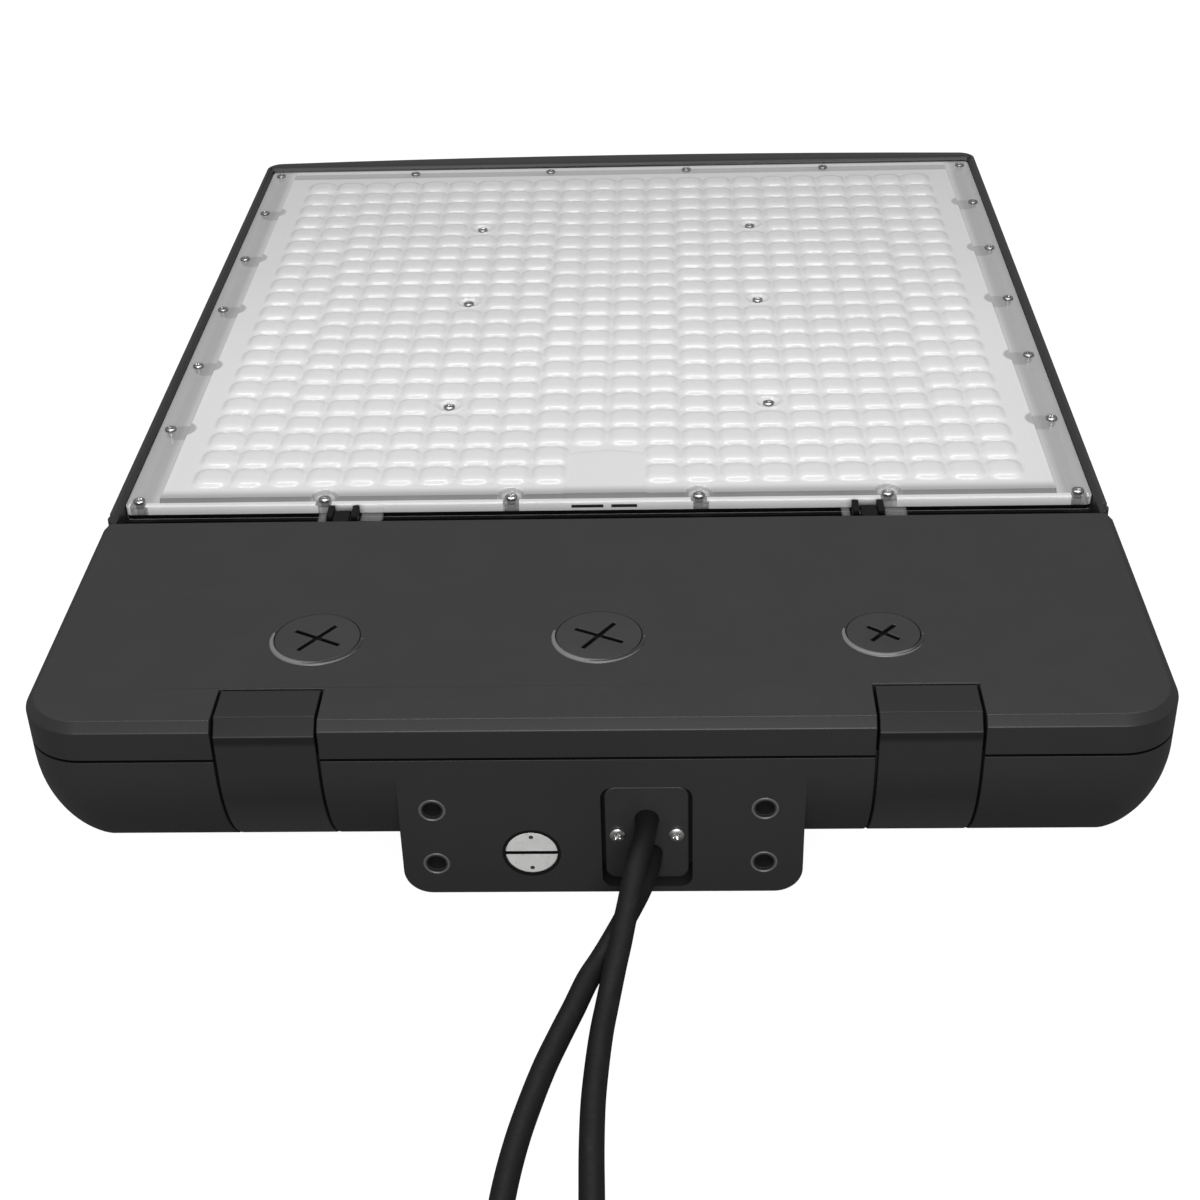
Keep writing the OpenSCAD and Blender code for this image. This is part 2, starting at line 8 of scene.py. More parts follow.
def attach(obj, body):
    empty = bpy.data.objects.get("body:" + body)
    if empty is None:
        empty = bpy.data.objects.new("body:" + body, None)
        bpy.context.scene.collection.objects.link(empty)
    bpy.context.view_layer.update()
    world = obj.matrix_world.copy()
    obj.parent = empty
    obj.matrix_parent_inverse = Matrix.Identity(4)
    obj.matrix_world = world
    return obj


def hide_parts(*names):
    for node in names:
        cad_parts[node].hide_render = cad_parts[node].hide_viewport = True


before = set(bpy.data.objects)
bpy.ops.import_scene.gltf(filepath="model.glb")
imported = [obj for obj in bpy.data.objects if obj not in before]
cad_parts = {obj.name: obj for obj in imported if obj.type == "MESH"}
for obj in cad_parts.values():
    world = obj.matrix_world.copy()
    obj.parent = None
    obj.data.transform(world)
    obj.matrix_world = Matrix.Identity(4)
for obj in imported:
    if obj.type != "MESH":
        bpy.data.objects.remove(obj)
bpy.context.view_layer.update()

MM = 0.001
pi = math.pi


def rad(a):
    return math.radians(a)


# ---------------------------------------------------------------- camera
def aim_camera():
    yaw, tilt, roll = 0.03972, 0.57209, -0.03118
    right = Vector((math.cos(yaw), math.sin(yaw), 0))
    fwd0 = Vector((-math.sin(yaw), math.cos(yaw), 0))
    up0 = Vector((0, 0, 1))
    fwd = fwd0 * math.cos(tilt) - up0 * math.sin(tilt)
    up = up0 * math.cos(tilt) + fwd0 * math.sin(tilt)
    r = right * math.cos(roll) + up * math.sin(roll)
    u = -right * math.sin(roll) + up * math.cos(roll)
    cam = bpy.data.cameras.new("camera")
    cam.sensor_fit = "HORIZONTAL"
    cam.sensor_width = 36.0
    cam.lens = 36.0 * 1976.4 / 1200.0
    cam.clip_start = 0.02
    cam.clip_end = 60.0
    o = bpy.data.objects.new("camera", cam)
    m = Matrix(((r.x, u.x, -fwd.x, 0.0243), (r.y, u.y, -fwd.y, -0.8098), (r.z, u.z, -fwd.z, 0.4710), (0, 0, 0, 1)))
    o.matrix_world = m
    bpy.context.scene.collection.objects.link(o)
    bpy.context.scene.camera = o


aim_camera()


# ---------------------------------------------------------------- shader helpers
class Shader:
    """A material under construction: nodes are added by type and joined by socket names."""

    def __init__(self, name):
        self.m = bpy.data.materials.new(name)
        self.m.use_nodes = True
        self.t = self.m.node_tree
        self.t.nodes.clear()
        self.out = self.t.nodes.new("ShaderNodeOutputMaterial")
        self.b = self.t.nodes.new("ShaderNodeBsdfPrincipled")
        self.t.links.new(self.b.outputs[0], self.out.inputs[0])
        self.co = self.t.nodes.new("ShaderNodeTexCoord").outputs["Object"]

    def node(self, kind, **inputs):
        n = self.t.nodes.new("ShaderNode" + kind)
        for k, v in inputs.items():
            if k.startswith("_"):
                setattr(n, k[1:], v)
        for k, v in inputs.items():
            if not k.startswith("_"):
                s = n.inputs[int(k[1:])] if k[0] == "i" and k[1:].isdigit() else n.inputs[k.replace("__", " ")]
                if isinstance(v, bpy.types.NodeSocket):
                    self.t.links.new(v, s)
                else:
                    s.default_value = v
        return n

    def noise(self, scale, detail=3.0, rough=0.55, co=None, w=0.0):
        n = self.node("TexNoise", Vector=self.co if co is None else co, Scale=scale, Detail=detail, Roughness=rough)
        return n.outputs[0]

    def ramp(self, fac, stops):
        n = self.node("ValToRGB", Fac=fac)
        e = n.color_ramp.elements
        while len(e) < len(stops):
            e.new(0.5)
        for i, (p, c) in enumerate(stops):
            e[i].position = p
            e[i].color = (c, c, c, 1) if isinstance(c, (int, float)) else (*c, 1)
        return n.outputs[0]

    def math(self, op, a, b=0.0):
        n = self.node("Math", _operation=op, i0=a, i1=b)
        return n.outputs[0]

    def mix(self, fac, a, b):
        n = self.t.nodes.new("ShaderNodeMix")
        n.data_type = "RGBA"
        for s, v in ((n.inputs[0], fac), (n.inputs[6], a), (n.inputs[7], b)):
            if isinstance(v, bpy.types.NodeSocket):
                self.t.links.new(v, s)
            elif isinstance(v, (int, float)) and s is n.inputs[0]:
                s.default_value = v
            else:
                s.default_value = (*v, 1) if not isinstance(v, (int, float)) else (v, v, v, 1)
        return n.outputs[2]

    def scaled(self, x, y, z, rot=(0, 0, 0)):
        return self.node("Mapping", Vector=self.co, Scale=(x, y, z), Rotation=rot).outputs[0]

    def bump(self, height, strength, dist, normal=None):
        n = self.node("Bump", Height=height, Strength=strength, Distance=dist)
        if normal is not None:
            self.t.links.new(normal, n.inputs["Normal"])
        return n.outputs[0]

    def set(self, **inputs):
        for k, v in inputs.items():
            s = self.b.inputs[k.replace("__", " ")]
            if isinstance(v, bpy.types.NodeSocket):
                self.t.links.new(v, s)
            elif isinstance(v, tuple) and len(v) == 3:
                s.default_value = (*v, 1)
            else:
                s.default_value = v
        return self


def coat(name, base, rough, grain=1.0, spread=0.05, dust=0.07, scale=1.0, low=None, top=None):
    """Powder coat over a casting: a fine orange-peel grain, slightly uneven gloss and a trace of dust. low and top are
    painted light and shade: a lighter colour below 40 mm and a darker one above 67 mm, for how the light falls on the
    part.
    """
    s = Shader(name)
    big = s.noise(7.0, 3.0)
    mid = s.noise(60.0, 4.0, 0.6)
    fine = s.noise(1500.0 * scale, 2.0, 0.6)
    cell = s.node("TexVoronoi", Vector=s.co, Scale=1900.0 * scale, Randomness=1.0).outputs[0]
    up = s.node("SeparateXYZ", Vector=s.node("NewGeometry").outputs["Normal"]).outputs[2]
    lo = tuple(c * (1 - spread) for c in base)
    hi = tuple(c * (1 + spread) for c in base)
    c1 = s.mix(s.ramp(big, [(0.3, 0.0), (0.7, 1.0)]), lo, hi)
    dustmask = s.math("MULTIPLY", s.ramp(mid, [(0.45, 0.0), (0.8, 1.0)]), s.ramp(up, [(0.2, 0.0), (0.9, 1.0)]))
    c2 = s.mix(s.math("MULTIPLY", dustmask, dust * 0.1), c1, (0.30, 0.30, 0.30))
    speck = s.ramp(fine, [(0.62, 0.0), (0.75, 1.0)])
    c3 = s.mix(s.math("MULTIPLY", speck, 0.04), c2, (0.22, 0.22, 0.22))
    if low:
        # painted light and shade by height: lighter towards the bottom, darker on top
        z = s.node("SeparateXYZ", Vector=s.co).outputs[2]
        c3 = s.mix(s.node("MapRange", Value=z, i1=0.016, i2=0.042, i3=1.0, i4=0.0).outputs[0], c3, low)
        c3 = s.mix(s.node("MapRange", Value=z, i1=0.0655, i2=0.0675, i3=0.0, i4=1.0).outputs[0], c3, top)
    s.set(Base__Color=c3)
    r = s.node("MapRange", Value=mid, i1=0.3, i2=0.7, i3=rough - 0.012, i4=rough + 0.016).outputs[0]
    s.set(Roughness=r)
    s.b.inputs["Specular IOR Level"].default_value = 0.42
    n1 = s.bump(cell, 0.22 * grain, 0.00006)
    n2 = s.bump(fine, 0.35 * grain, 0.00005, n1)
    n3 = s.bump(big, 0.03, 0.0005, n2)
    s.set(Normal=n3)
    return s.m


def plastic(name, base, rough, grain=0.5, spread=0.1, spec=0.5):
    s = Shader(name)
    big = s.noise(14.0, 3.0)
    fine = s.noise(900.0, 3.0)
    s.set(Base__Color=s.mix(s.ramp(big, [(0.35, 0.0), (0.65, 1.0)]), tuple(c * (1 - spread) for c in base), tuple(c * (1 + spread) for c in base)))
    s.set(Roughness=s.node("MapRange", Value=s.noise(70.0, 3.0), i1=0.3, i2=0.7, i3=rough - 0.05, i4=rough + 0.06).outputs[0])
    s.b.inputs["Specular IOR Level"].default_value = spec
    s.set(Normal=s.bump(fine, 0.25 * grain, 0.00005))
    return s.m


def steel(name, base, rough, turned=0.0, axis="z"):
    """Bright metal: a fine grain, deeper with turned, and faint smudges. axis is not used."""
    s = Shader(name)
    smudge = s.noise(160.0, 4.0)
    fine = s.noise(2200.0, 2.0)
    s.set(Base__Color=s.mix(smudge, tuple(c * 0.84 for c in base), base), Metallic=1.0)
    s.set(Roughness=s.node("MapRange", Value=smudge, i1=0.3, i2=0.7, i3=rough - 0.06, i4=rough + 0.08).outputs[0])
    s.set(Normal=s.bump(fine, 0.2 + turned, 0.00003))
    return s.m


def rubber(name, base, rough, scuff=0.3):
    s = Shader(name)
    big = s.noise(30.0, 4.0)
    fine = s.noise(700.0, 3.0, 0.6)
    marks = s.ramp(s.noise(1.0, 5.0, 0.62, s.scaled(260, 90, 260)), [(0.56, 0.0), (0.72, 1.0)])
    c = s.mix(big, tuple(x * 0.8 for x in base), tuple(x * 1.2 for x in base))
    s.set(Base__Color=s.mix(s.math("MULTIPLY", marks, scuff), c, tuple(min(1, x * 2.2 + 0.02) for x in base)))
    s.set(Roughness=s.node("MapRange", Value=fine, i1=0.3, i2=0.7, i3=rough - 0.06, i4=rough + 0.08).outputs[0])
    s.b.inputs["Specular IOR Level"].default_value = 0.28
    s.set(Normal=s.bump(fine, 0.35, 0.00008))
    return s.m


BLACK = (0.0205, 0.0205, 0.0210)
M = {}
M["casting"] = coat("casting_black", BLACK, 0.44)
M["door"] = coat("door_black", (0.0195, 0.0195, 0.0199), 0.42)
# the straps get painted light low down and painted shade on top
M["strap"] = coat("strap_black", (0.0160, 0.0160, 0.0164), 0.50, grain=0.8, low=(0.042, 0.042, 0.0425), top=(0.0038, 0.0038, 0.0040))
M["sink"] = coat("sink_black", (0.022, 0.022, 0.0225), 0.5, dust=1.2)
M["plug"] = plastic("plug_black", (0.022, 0.022, 0.0225), 0.42, 0.8)
M["plate"] = plastic("plate_black", (0.017, 0.017, 0.0175), 0.5, 1.0)
M["module"] = plastic("module_black", (0.03, 0.03, 0.032), 0.5)
M["terminal"] = plastic("terminal_white", (0.78, 0.78, 0.74), 0.4)
M["screw"] = steel("screw_steel", (0.36, 0.36, 0.36), 0.27)
M["pin"] = steel("pin_steel", (0.55, 0.55, 0.55), 0.3)
M["zinc"] = steel("bright_zinc", (0.80, 0.80, 0.79), 0.30, 0.2)
M["driver"] = steel("driver_metal", (0.70, 0.71, 0.73), 0.42)
M["cord"] = rubber("cord_black", (0.0065, 0.0065, 0.0068), 0.62, 0.2)
M["seal"] = rubber("gasket_black", (0.010, 0.010, 0.010), 0.7, 0.1)
M["tie"] = plastic("tie_black", (0.012, 0.012, 0.012), 0.4)
# near-black material for painted shade in slots, gaps and recesses
M["shade"] = plastic("slot_shade", (0.004, 0.004, 0.004), 0.7, spec=0.15)
# light grey lip colour: a painted highlight on the plug lips
M["lip"] = coat("lip_painted_highlight", (0.17, 0.17, 0.17), 0.34, grain=0.6)
# light grey rim colour: a painted highlight round the mount holes
M["rim"] = coat("rim_painted_highlight", (0.10, 0.10, 0.10), 0.36, grain=0.8)
M["ground"] = plastic("ground_green", (0.05, 0.25, 0.09), 0.35)


# ---------------------------------------------------------------- mesh helpers (lengths in mm)
def add(name, body, mats, verts, faces, fmat=None, smooth=True, replaces=()):
    me = bpy.data.meshes.new(name)
    me.from_pydata([(v[0] * MM, v[1] * MM, v[2] * MM) for v in verts], [], faces)
    for m in mats:
        me.materials.append(m)
    if fmat:
        for p, k in zip(me.polygons, fmat):
            p.material_index = k
    me.validate()
    me.update()
    o = bpy.data.objects.new(name, me)
    bpy.context.scene.collection.objects.link(o)
    if smooth:
        me.shade_smooth()
    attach(o, body)
    if replaces:
        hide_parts(*replaces)
    return o


def sharpen(o, angle=32):
    me = o.data
    me.shade_smooth()
    bm = bmesh.new()
    bm.from_mesh(me)
    for e in bm.edges:
        e.smooth = not (len(e.link_faces) == 2 and e.calc_face_angle(0) > rad(angle))
    bm.to_mesh(me)
    bm.free()
    return o


def apply_mods(o):
    deps = bpy.context.evaluated_depsgraph_get()
    deps.update()
    me = bpy.data.meshes.new_from_object(o.evaluated_get(deps), preserve_all_data_layers=True, depsgraph=deps)
    old = o.data
    o.modifiers.clear()
    o.data = me
    bpy.data.meshes.remove(old)
    return o


def rounded(node, body, mat, width, angle=30, segments=2, name=None, weight=None, dark=None, cut=None):
    """A copy of a CAD node whose sharp edges are rounded off, standing for that node. weight gives the share of the
    width at an edge, dark tells the faces that get painted shade in the near-black shade material, and cut splits the
    faces at that Y.
    """
    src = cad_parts[node]
    bm = bmesh.new()
    bm.from_mesh(src.data)
    bmesh.ops.remove_doubles(bm, verts=bm.verts, dist=2e-6)
    bmesh.ops.dissolve_limit(bm, angle_limit=rad(0.3), verts=bm.verts, edges=bm.edges)
    if cut is not None:
        bmesh.ops.bisect_plane(bm, geom=bm.verts[:] + bm.edges[:] + bm.faces[:], dist=1e-7, plane_co=(0, cut * MM, 0), plane_no=(0, 1, 0))
    layer = bm.edges.layers.float.new("bevel_weight_edge")
    for e in bm.edges:
        e.smooth = True
        if len(e.link_faces) == 2 and e.calc_face_angle(0) > rad(angle):
            mid = (e.verts[0].co + e.verts[1].co) / 2 / MM
            e[layer] = 0.5 if weight is None else max(0.0, min(1.0, weight(mid, e)))
            e.smooth = e[layer] > 0
    me = bpy.data.meshes.new(name or node + "_finished")
    bm.to_mesh(me)
    bm.free()
    me.materials.clear()
    me.materials.append(mat)
    o = bpy.data.objects.new(name or node + "_finished", me)
    bpy.context.scene.collection.objects.link(o)
    me.shade_smooth()
    b = o.modifiers.new("bevel", "BEVEL")
    b.width = 2 * width * MM
    b.segments = segments
    b.limit_method = "WEIGHT"
    b.use_clamp_overlap = False
    b.loop_slide = False
    b.miter_outer = "MITER_SHARP"
    tri = o.modifiers.new("triangles", "TRIANGULATE")
    tri.min_vertices = 5
    w = o.modifiers.new("normals", "WEIGHTED_NORMAL")
    w.mode = "FACE_AREA"
    w.weight = 100
    w.keep_sharp = True
    apply_mods(o)
    # painted shade: the faces that dark picks get the near-black shade material
    if dark:
        o.data.materials.append(M["shade"])
        for f in o.data.polygons:
            if dark(f.center / MM):
                f.material_index = 1
    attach(o, body)
    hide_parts(node)
    return o


def catmull(pts, step):
    """A smooth line through the points, with a point about every step."""
    p = [Vector(q) for q in pts]
    p = [p[0] * 2 - p[1]] + p + [p[-1] * 2 - p[-2]]
    out = []
    for i in range(1, len(p) - 2):
        a, b, c, d = p[i - 1:i + 3]
        n = max(1, int(round((c - b).length / step)))
        for k in range(n):
            t = k / n
            out.append(0.5 * ((2 * b) + (c - a) * t + (2 * a - 5 * b + 4 * c - d) * t * t + (3 * b - a - 3 * c + d) * t ** 3))
    out.append(p[-2].copy())
    return out


def tube_mesh(line, r, sides, verts, faces, closed_ends=True, radii=None):
    """Adds a tube along a line to verts and faces."""
    n = len(line)
    start = len(verts)
    t0 = (line[1] - line[0]).normalized()
    ref = Vector((0, 0, 1)) if abs(t0.z) < 0.9 else Vector((1, 0, 0))
    side = t0.cross(ref).normalized()
    for i in range(n):
        t = (line[min(i + 1, n - 1)] - line[max(i - 1, 0)]).normalized()
        side = (side - t * side.dot(t)).normalized()
        v = side.cross(t)
        rr = radii[i] if radii else r
        for k in range(sides):
            a = 2 * pi * k / sides
            verts.append(line[i] + (side * math.cos(a) + v * math.sin(a)) * rr)
    for i in range(n - 1):
        for k in range(sides):
            a, b = start + i * sides + k, start + i * sides + (k + 1) % sides
            faces.append((a, a + sides, b + sides, b))
    if closed_ends:
        faces.append(tuple(start + k for k in range(sides)))
        faces.append(tuple(start + (n - 1) * sides + k for k in reversed(range(sides))))


def lathe(profile, segs, verts, faces, place):
    """Turns (radius, height) points round a local axis. place maps a local (x, y, z) to the frame."""
    start = len(verts)
    rings = []
    for r, h in profile:
        if r <= 1e-9:
            rings.append([len(verts)])
            verts.append(place(0.0, 0.0, h))
        else:
            rings.append(list(range(len(verts), len(verts) + segs)))
            for k in range(segs):
                a = 2 * pi * k / segs
                verts.append(place(r * math.cos(a), r * math.sin(a), h))
    for a, b in zip(rings, rings[1:]):
        for k in range(segs):
            if len(a) == 1 and len(b) == 1:
                continue
            if len(a) == 1:
                faces.append((a[0], b[k], b[(k + 1) % segs]))
            elif len(b) == 1:
                faces.append((a[(k + 1) % segs], a[k], b[0]))
            else:
                faces.append((a[k], b[k], b[(k + 1) % segs], a[(k + 1) % segs]))


def at(x, y, z, axis="z"):
    if axis == "z":
        return lambda a, b, h: Vector((x + a, y + b, z + h))
    return lambda a, b, h: Vector((x + a, y - h, z + b))  # local height points to -Y


# ---------------------------------------------------------------- free cables
POWER = [(16.8, -270.6, 32), (16.5, -276, 31.5), (15, -282, 29.5), (13.5, -288, 27), (12, -294, 23.5), (10.6, -300, 19.7),
         (9.1, -306, 15.9), (7.7, -312, 12), (6.2, -318, 8.6), (4.6, -326, 5.4), (3.4, -334, 4.3), (2, -345, 4.1),
         (0.8, -360, 4.1), (0, -376, 4.1), (0, -394, 4.1), (0.5, -412, 4.1), (1, -430, 4.1), (1, -448, 4.1), (1, -466, 4.1)]
CONTROL = [(18, -270.6, 16.6), (17.7, -276, 16.2), (16, -282, 14.8), (13.4, -288, 12.5), (10.2, -294, 9.9), (6.9, -300, 7.4),
           (3.7, -306, 5.4), (0.7, -312, 4.3), (-3.3, -321, 4.1), (-7.4, -334, 4.1), (-11.4, -346, 4.1), (-15.8, -360, 4.1),
           (-19.6, -375, 4.1), (-23, -391, 4.1), (-25.5, -408, 4.1), (-27, -426, 4.1), (-28, -446, 4.1), (-28, -466, 4.1)]


def coil_line(cx, cy, start, turn, sweep):
    """From the start angle round the coil: the first turn on the floor, then up over it."""
    pts = []
    n = int(sweep / 3)
    for i in range(1, n + 1):
        d = sweep * i / n
        a = rad(start + turn * d)
        k = min(1.0, max(0.0, (d - 255) / 70.0))
        k = k * k * (3 - 2 * k)
        pts.append((cx + 44 * math.cos(a), cy + 44 * math.sin(a), 4.1 + 8.25 * k))
    return pts


def make_cord(name, pts, coil, centre, start, turn, sweep, colours):
    whole = pts + [(pts[-1][0], centre[1], 4.1)]
    line = catmull(whole, 2.4)
    line += [Vector(p) for p in coil]
    verts, faces = [], []
    tube_mesh(line, 4.0, 20, verts, faces)
    o = add(name + "_jacket", "fixture", [M["cord"]], verts, faces, replaces=(name, name + "_coil"))
    sharpen(o, 60)
    # three bare-ended conductors out of the jacket
    end, back = line[-1], line[-4]
    t = (end - back).normalized()
    side = t.cross(Vector((0, 0, 1))).normalized()
    verts, faces, fmat = [], [], []
    mats = [plastic(name + "_lead_%d" % i, c, 0.4) for i, c in enumerate(colours)]
    copper = steel(name + "_strands", (0.78, 0.45, 0.28), 0.35)
    curve = -1 if turn < 0 else 1
    for i in range(len(colours)):
        a = 2 * pi * i / len(colours) + 0.5
        off = side * math.cos(a) * 1.9 + Vector((0, 0, 1)) * math.sin(a) * 1.9
        lead = []
        for k in range(13):
            u = k / 12.0
            fan = off * (1 + 0.55 * u)
            inward = side * (-curve) * -1
            pos = end + t * (-3 + 27 * u) + fan
            pos = pos + (Vector((centre[0], centre[1], pos.z)) - pos).normalized() * (u * u * 7.0)
            lead.append(pos)
        f0 = len(faces)
        tube_mesh(lead, 1.25, 10, verts, faces)
        fmat += [i] * (len(faces) - f0)
        tip = lead[-1]
        d = (lead[-1] - lead[-2]).normalized()
        f0 = len(faces)
        tube_mesh([tip - d, tip, tip + d * 4, tip + d * 8], 0.75, 8, verts, faces)
        fmat += [len(colours)] * (len(faces) - f0)
    w = add(name + "_conductors", "fixture", mats + [copper], verts, faces, fmat)
    sharpen(w, 60)
    # a nylon tie round both turns
    tie_a = rad(start + turn * (sweep - 150))
    radial = Vector((math.cos(tie_a), math.sin(tie_a), 0))
    tang = Vector((-radial.y, radial.x, 0))
    mid = Vector((centre[0], centre[1], 0)) + radial * 44 + Vector((0, 0, 8.25))
    verts, faces = [], []
    ring = []
    for k in range(48):
        a = 2 * pi * k / 48
        c, s_ = math.cos(a), math.sin(a)
        flat = 4.2 + (0.15 if abs(s_) < 0.5 else 0)
        x, z = 4.25 * c, 4.12 * (1 if s_ > 0 else -1) * (1 if abs(s_) > 1e-9 else 0) + 4.25 * s_
        x = 4.25 * max(-1, min(1, c * 1.0))
        ring.append((x, z * 0.5 * 2.0))
    outer = []
    for k in range(48):
        x, z = ring[k]
        n = Vector((x, z - (4.12 if z > 0 else -4.12))).normalized() if abs(z) > 4.12 else Vector((1 if x > 0 else -1, 0))
        outer.append((x + n.x * 0.9, z + n.y * 0.9))
    low = -8.15
    for (x, z), (x2, z2) in zip(ring, outer):
        for w_ in (-1.3, 1.3):
            verts.append(mid + radial * x + Vector((0, 0, max(z, low + 0.02))) + tang * w_)
        for w_ in (1.0, -1.0):
            verts.append(mid + radial * x2 + Vector((0, 0, max(z2, low))) + tang * w_)
    for k in range(48):
        a, b = 4 * k, 4 * ((k + 1) % 48)
        for j in range(4):
            faces.append((a + j, b + j, b + (j + 1) % 4, a + (j + 1) % 4))
    # the tie's head
    h = mid + radial * 5.6 + Vector((0, 0, 1.0))
    s0 = len(verts)
    for dz in (-2.2, 2.2):
        for dr, dt in ((-1.0, -2.0), (1.6, -1.7), (1.6, 1.7), (-1.0, 2.0)):
            verts.append(h + radial * dr + tang * dt + Vector((0, 0, dz)))
    faces += [(s0, s0 + 3, s0 + 2, s0 + 1), (s0 + 4, s0 + 5, s0 + 6, s0 + 7)] + [(s0 + i, s0 + (i + 1) % 4, s0 + 4 + (i + 1) % 4, s0 + 4 + i) for i in range(4)]
    tie = add(name + "_tie", "fixture", [M["tie"]], verts, faces)
    sharpen(tie, 40)
    return o


make_cord("power_cord", POWER, coil_line(45, -480, 180, 1, 610), (45, -480), 180, 1, 610,
          [(0.02, 0.02, 0.02), (0.75, 0.75, 0.73), (0.05, 0.28, 0.09)])
make_cord("control_cord", CONTROL, coil_line(-72, -480, 0, -1, 610), (-72, -480), 0, -1, 610,
          [(0.28, 0.12, 0.35), (0.38, 0.38, 0.39)])


# ---------------------------------------------------------------- more mesh helpers
def carry(nodes, mat):
    """Gives carried-over nodes their finish."""
    for n in nodes:
        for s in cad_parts[n].material_slots:
            s.link = "OBJECT"
            s.material = mat


def pan_head(place, r, h, verts, faces, n=20, cross=1.0):
    """A domed head with a cross recess. place maps (x, y, height) to the frame, height 0 at its seat."""
    start = len(verts)
    for j in range(n + 1):
        for i in range(n + 1):
            a, b = 2 * i / n - 1, 2 * j / n - 1
            x, y = a * math.sqrt(1 - b * b / 2), b * math.sqrt(1 - a * a / 2)
            q = min(1.0, x * x + y * y)
            z = h * (0.62 + 0.38 * (1 - q ** 1.3))
            x, y = x * r, y * r
            for u, v in ((x, y), (y, x)):
                if abs(v) < 0.42 * cross and abs(u) < 1.75 * cross:
                    z = min(z, h * 0.98 - 0.95 * cross * (1 - (abs(u) / (1.9 * cross)) ** 2) * (1 - (abs(v) / (0.5 * cross)) ** 4) ** 0.5)
            verts.append(place(x * 0.965, y * 0.965, z))
    for j in range(n):
        for i in range(n):
            k = start + j * (n + 1) + i
            faces.append((k, k + 1, k + n + 2, k + n + 1))
    rim = [start + i for i in range(n)] + [start + n + j * (n + 1) for j in range(n)]
    rim += [start + (n + 1) * (n + 1) - 1 - i for i in range(n)] + [start + (n - j) * (n + 1) for j in range(n)]
    prev = rim
    for rr, z in ((1.0, h * 0.5), (1.0, h * 0.08), (0.97, 0.0)):
        ring = []
        for k in rim:
            m = len(verts)
            i, j = (k - start) % (n + 1), (k - start) // (n + 1)
            a, b = 2 * i / n - 1, 2 * j / n - 1
            x, y = a * math.sqrt(1 - b * b / 2), b * math.sqrt(1 - a * a / 2)
            d = math.hypot(x, y)
            verts.append(place(x / d * r * rr, y / d * r * rr, z))
            ring.append(m)
        for k in range(len(rim)):
            p = (k + 1) % len(rim)
            faces.append((prev[k], ring[k], ring[p], prev[p]))
        prev = ring
    faces.append(tuple(prev[::-1]))


def thread(place, r, z0, z1, pitch, depth, verts, faces, segs=16):
    prof = [(0.0, z0), (r * 0.6, z0)]
    n = int((z1 - z0 - 0.6) / pitch)
    for i in range(n):
        z = z0 + 0.6 + i * pitch
        prof += [(r - depth, z), (r, z + pitch * 0.5)]
    prof += [(r - depth, z1 - 0.01), (0.0, z1)]
    lathe(prof, segs, verts, faces, place)


def filled_ring(outer, inner, z, verts, faces):
    """Triangles between an outer outline and outlines inside it, all at one height."""
    bm = bmesh.new()
    loops = []
    for pts in [outer] + inner:
        vs = [bm.verts.new((p[0], p[1], z)) for p in pts]
        for a, b in zip(vs, vs[1:] + vs[:1]):
            bm.edges.new((a, b))
        loops.append(vs)
    bmesh.ops.triangle_fill(bm, use_beauty=True, use_dissolve=False, edges=bm.edges[:], normal=(0, 0, 1))
    bm.verts.index_update()
    base = len(verts)
    for v in bm.verts:
        verts.append(v.co.copy())
    for f in bm.faces:
        idx = [base + v.index for v in f.verts]
        faces.append(tuple(idx if f.normal.z > 0 else idx[::-1]))
    out, k = [], base
    for pts in [outer] + inner:
        out.append(list(range(k, k + len(pts))))
        k += len(pts)
    bm.free()
    return out


def wall(ring, target, verts, faces, flip=False):
    """Joins a ring of vertex numbers to a new ring of points of the same count, and returns the new ring."""
    new = []
    for p in target:
        new.append(len(verts))
        verts.append(Vector(p))
    n = len(ring)
    for k in range(n):
        a, b, c, d = ring[k], ring[(k + 1) % n], new[(k + 1) % n], new[k]
        faces.append((a, b, c, d) if flip else (a, d, c, b))
    return new


def circle_pts(cx, cy, r, n, a0=0.0):
    return [(cx + r * math.cos(a0 + 2 * pi * k / n), cy + r * math.sin(a0 + 2 * pi * k / n)) for k in range(n)]


def soft_box(lo, hi, r, verts, faces):
    """A closed box with chamfered edges."""
    bm = bmesh.new()
    bmesh.ops.create_cube(bm, size=1.0)
    for v in bm.verts:
        v.co = Vector([lo[i] if v.co[i] < 0 else hi[i] for i in range(3)])
    bmesh.ops.bevel(bm, geom=bm.edges[:], offset=r, segments=2, affect="EDGES", profile=0.5)
    bm.verts.index_update()
    base = len(verts)
    verts += [v.co.copy() for v in bm.verts]
    faces += [tuple(base + v.index for v in f.verts) for f in bm.faces]
    bm.free()


# ---------------------------------------------------------------- castings and hardware
def housing_edges(p, e):
    if abs(p.x) < 66 and p.z < 52 and p.y < -250:
        # holes and recess of the mount face stay crisp, its outline is rounded
        return 0.5 if p.z < 0.5 or (p.z < 10.5 and abs(p.x) > 59) else 0.0
    if 66 <= abs(p.x) < 72.5 and p.y > -271.6 and p.y < -213:
        return 0.0
    return 0.22 if p.z > 59 else 0.5


def door_edges(p, e):
    for x, r in ((-102, 15.3), (0, 15.3), (102, 13)):
        d = math.hypot(p.x - x, p.y + 218.8)
        if d < r + 3.2:
            up = max(v.co.z for v in e.verts) / MM - 75
            return 0.0 if up < 0.12 else min(0.35, 0.45 * up)
    return 0.22 if p.z < 61 else 0.5
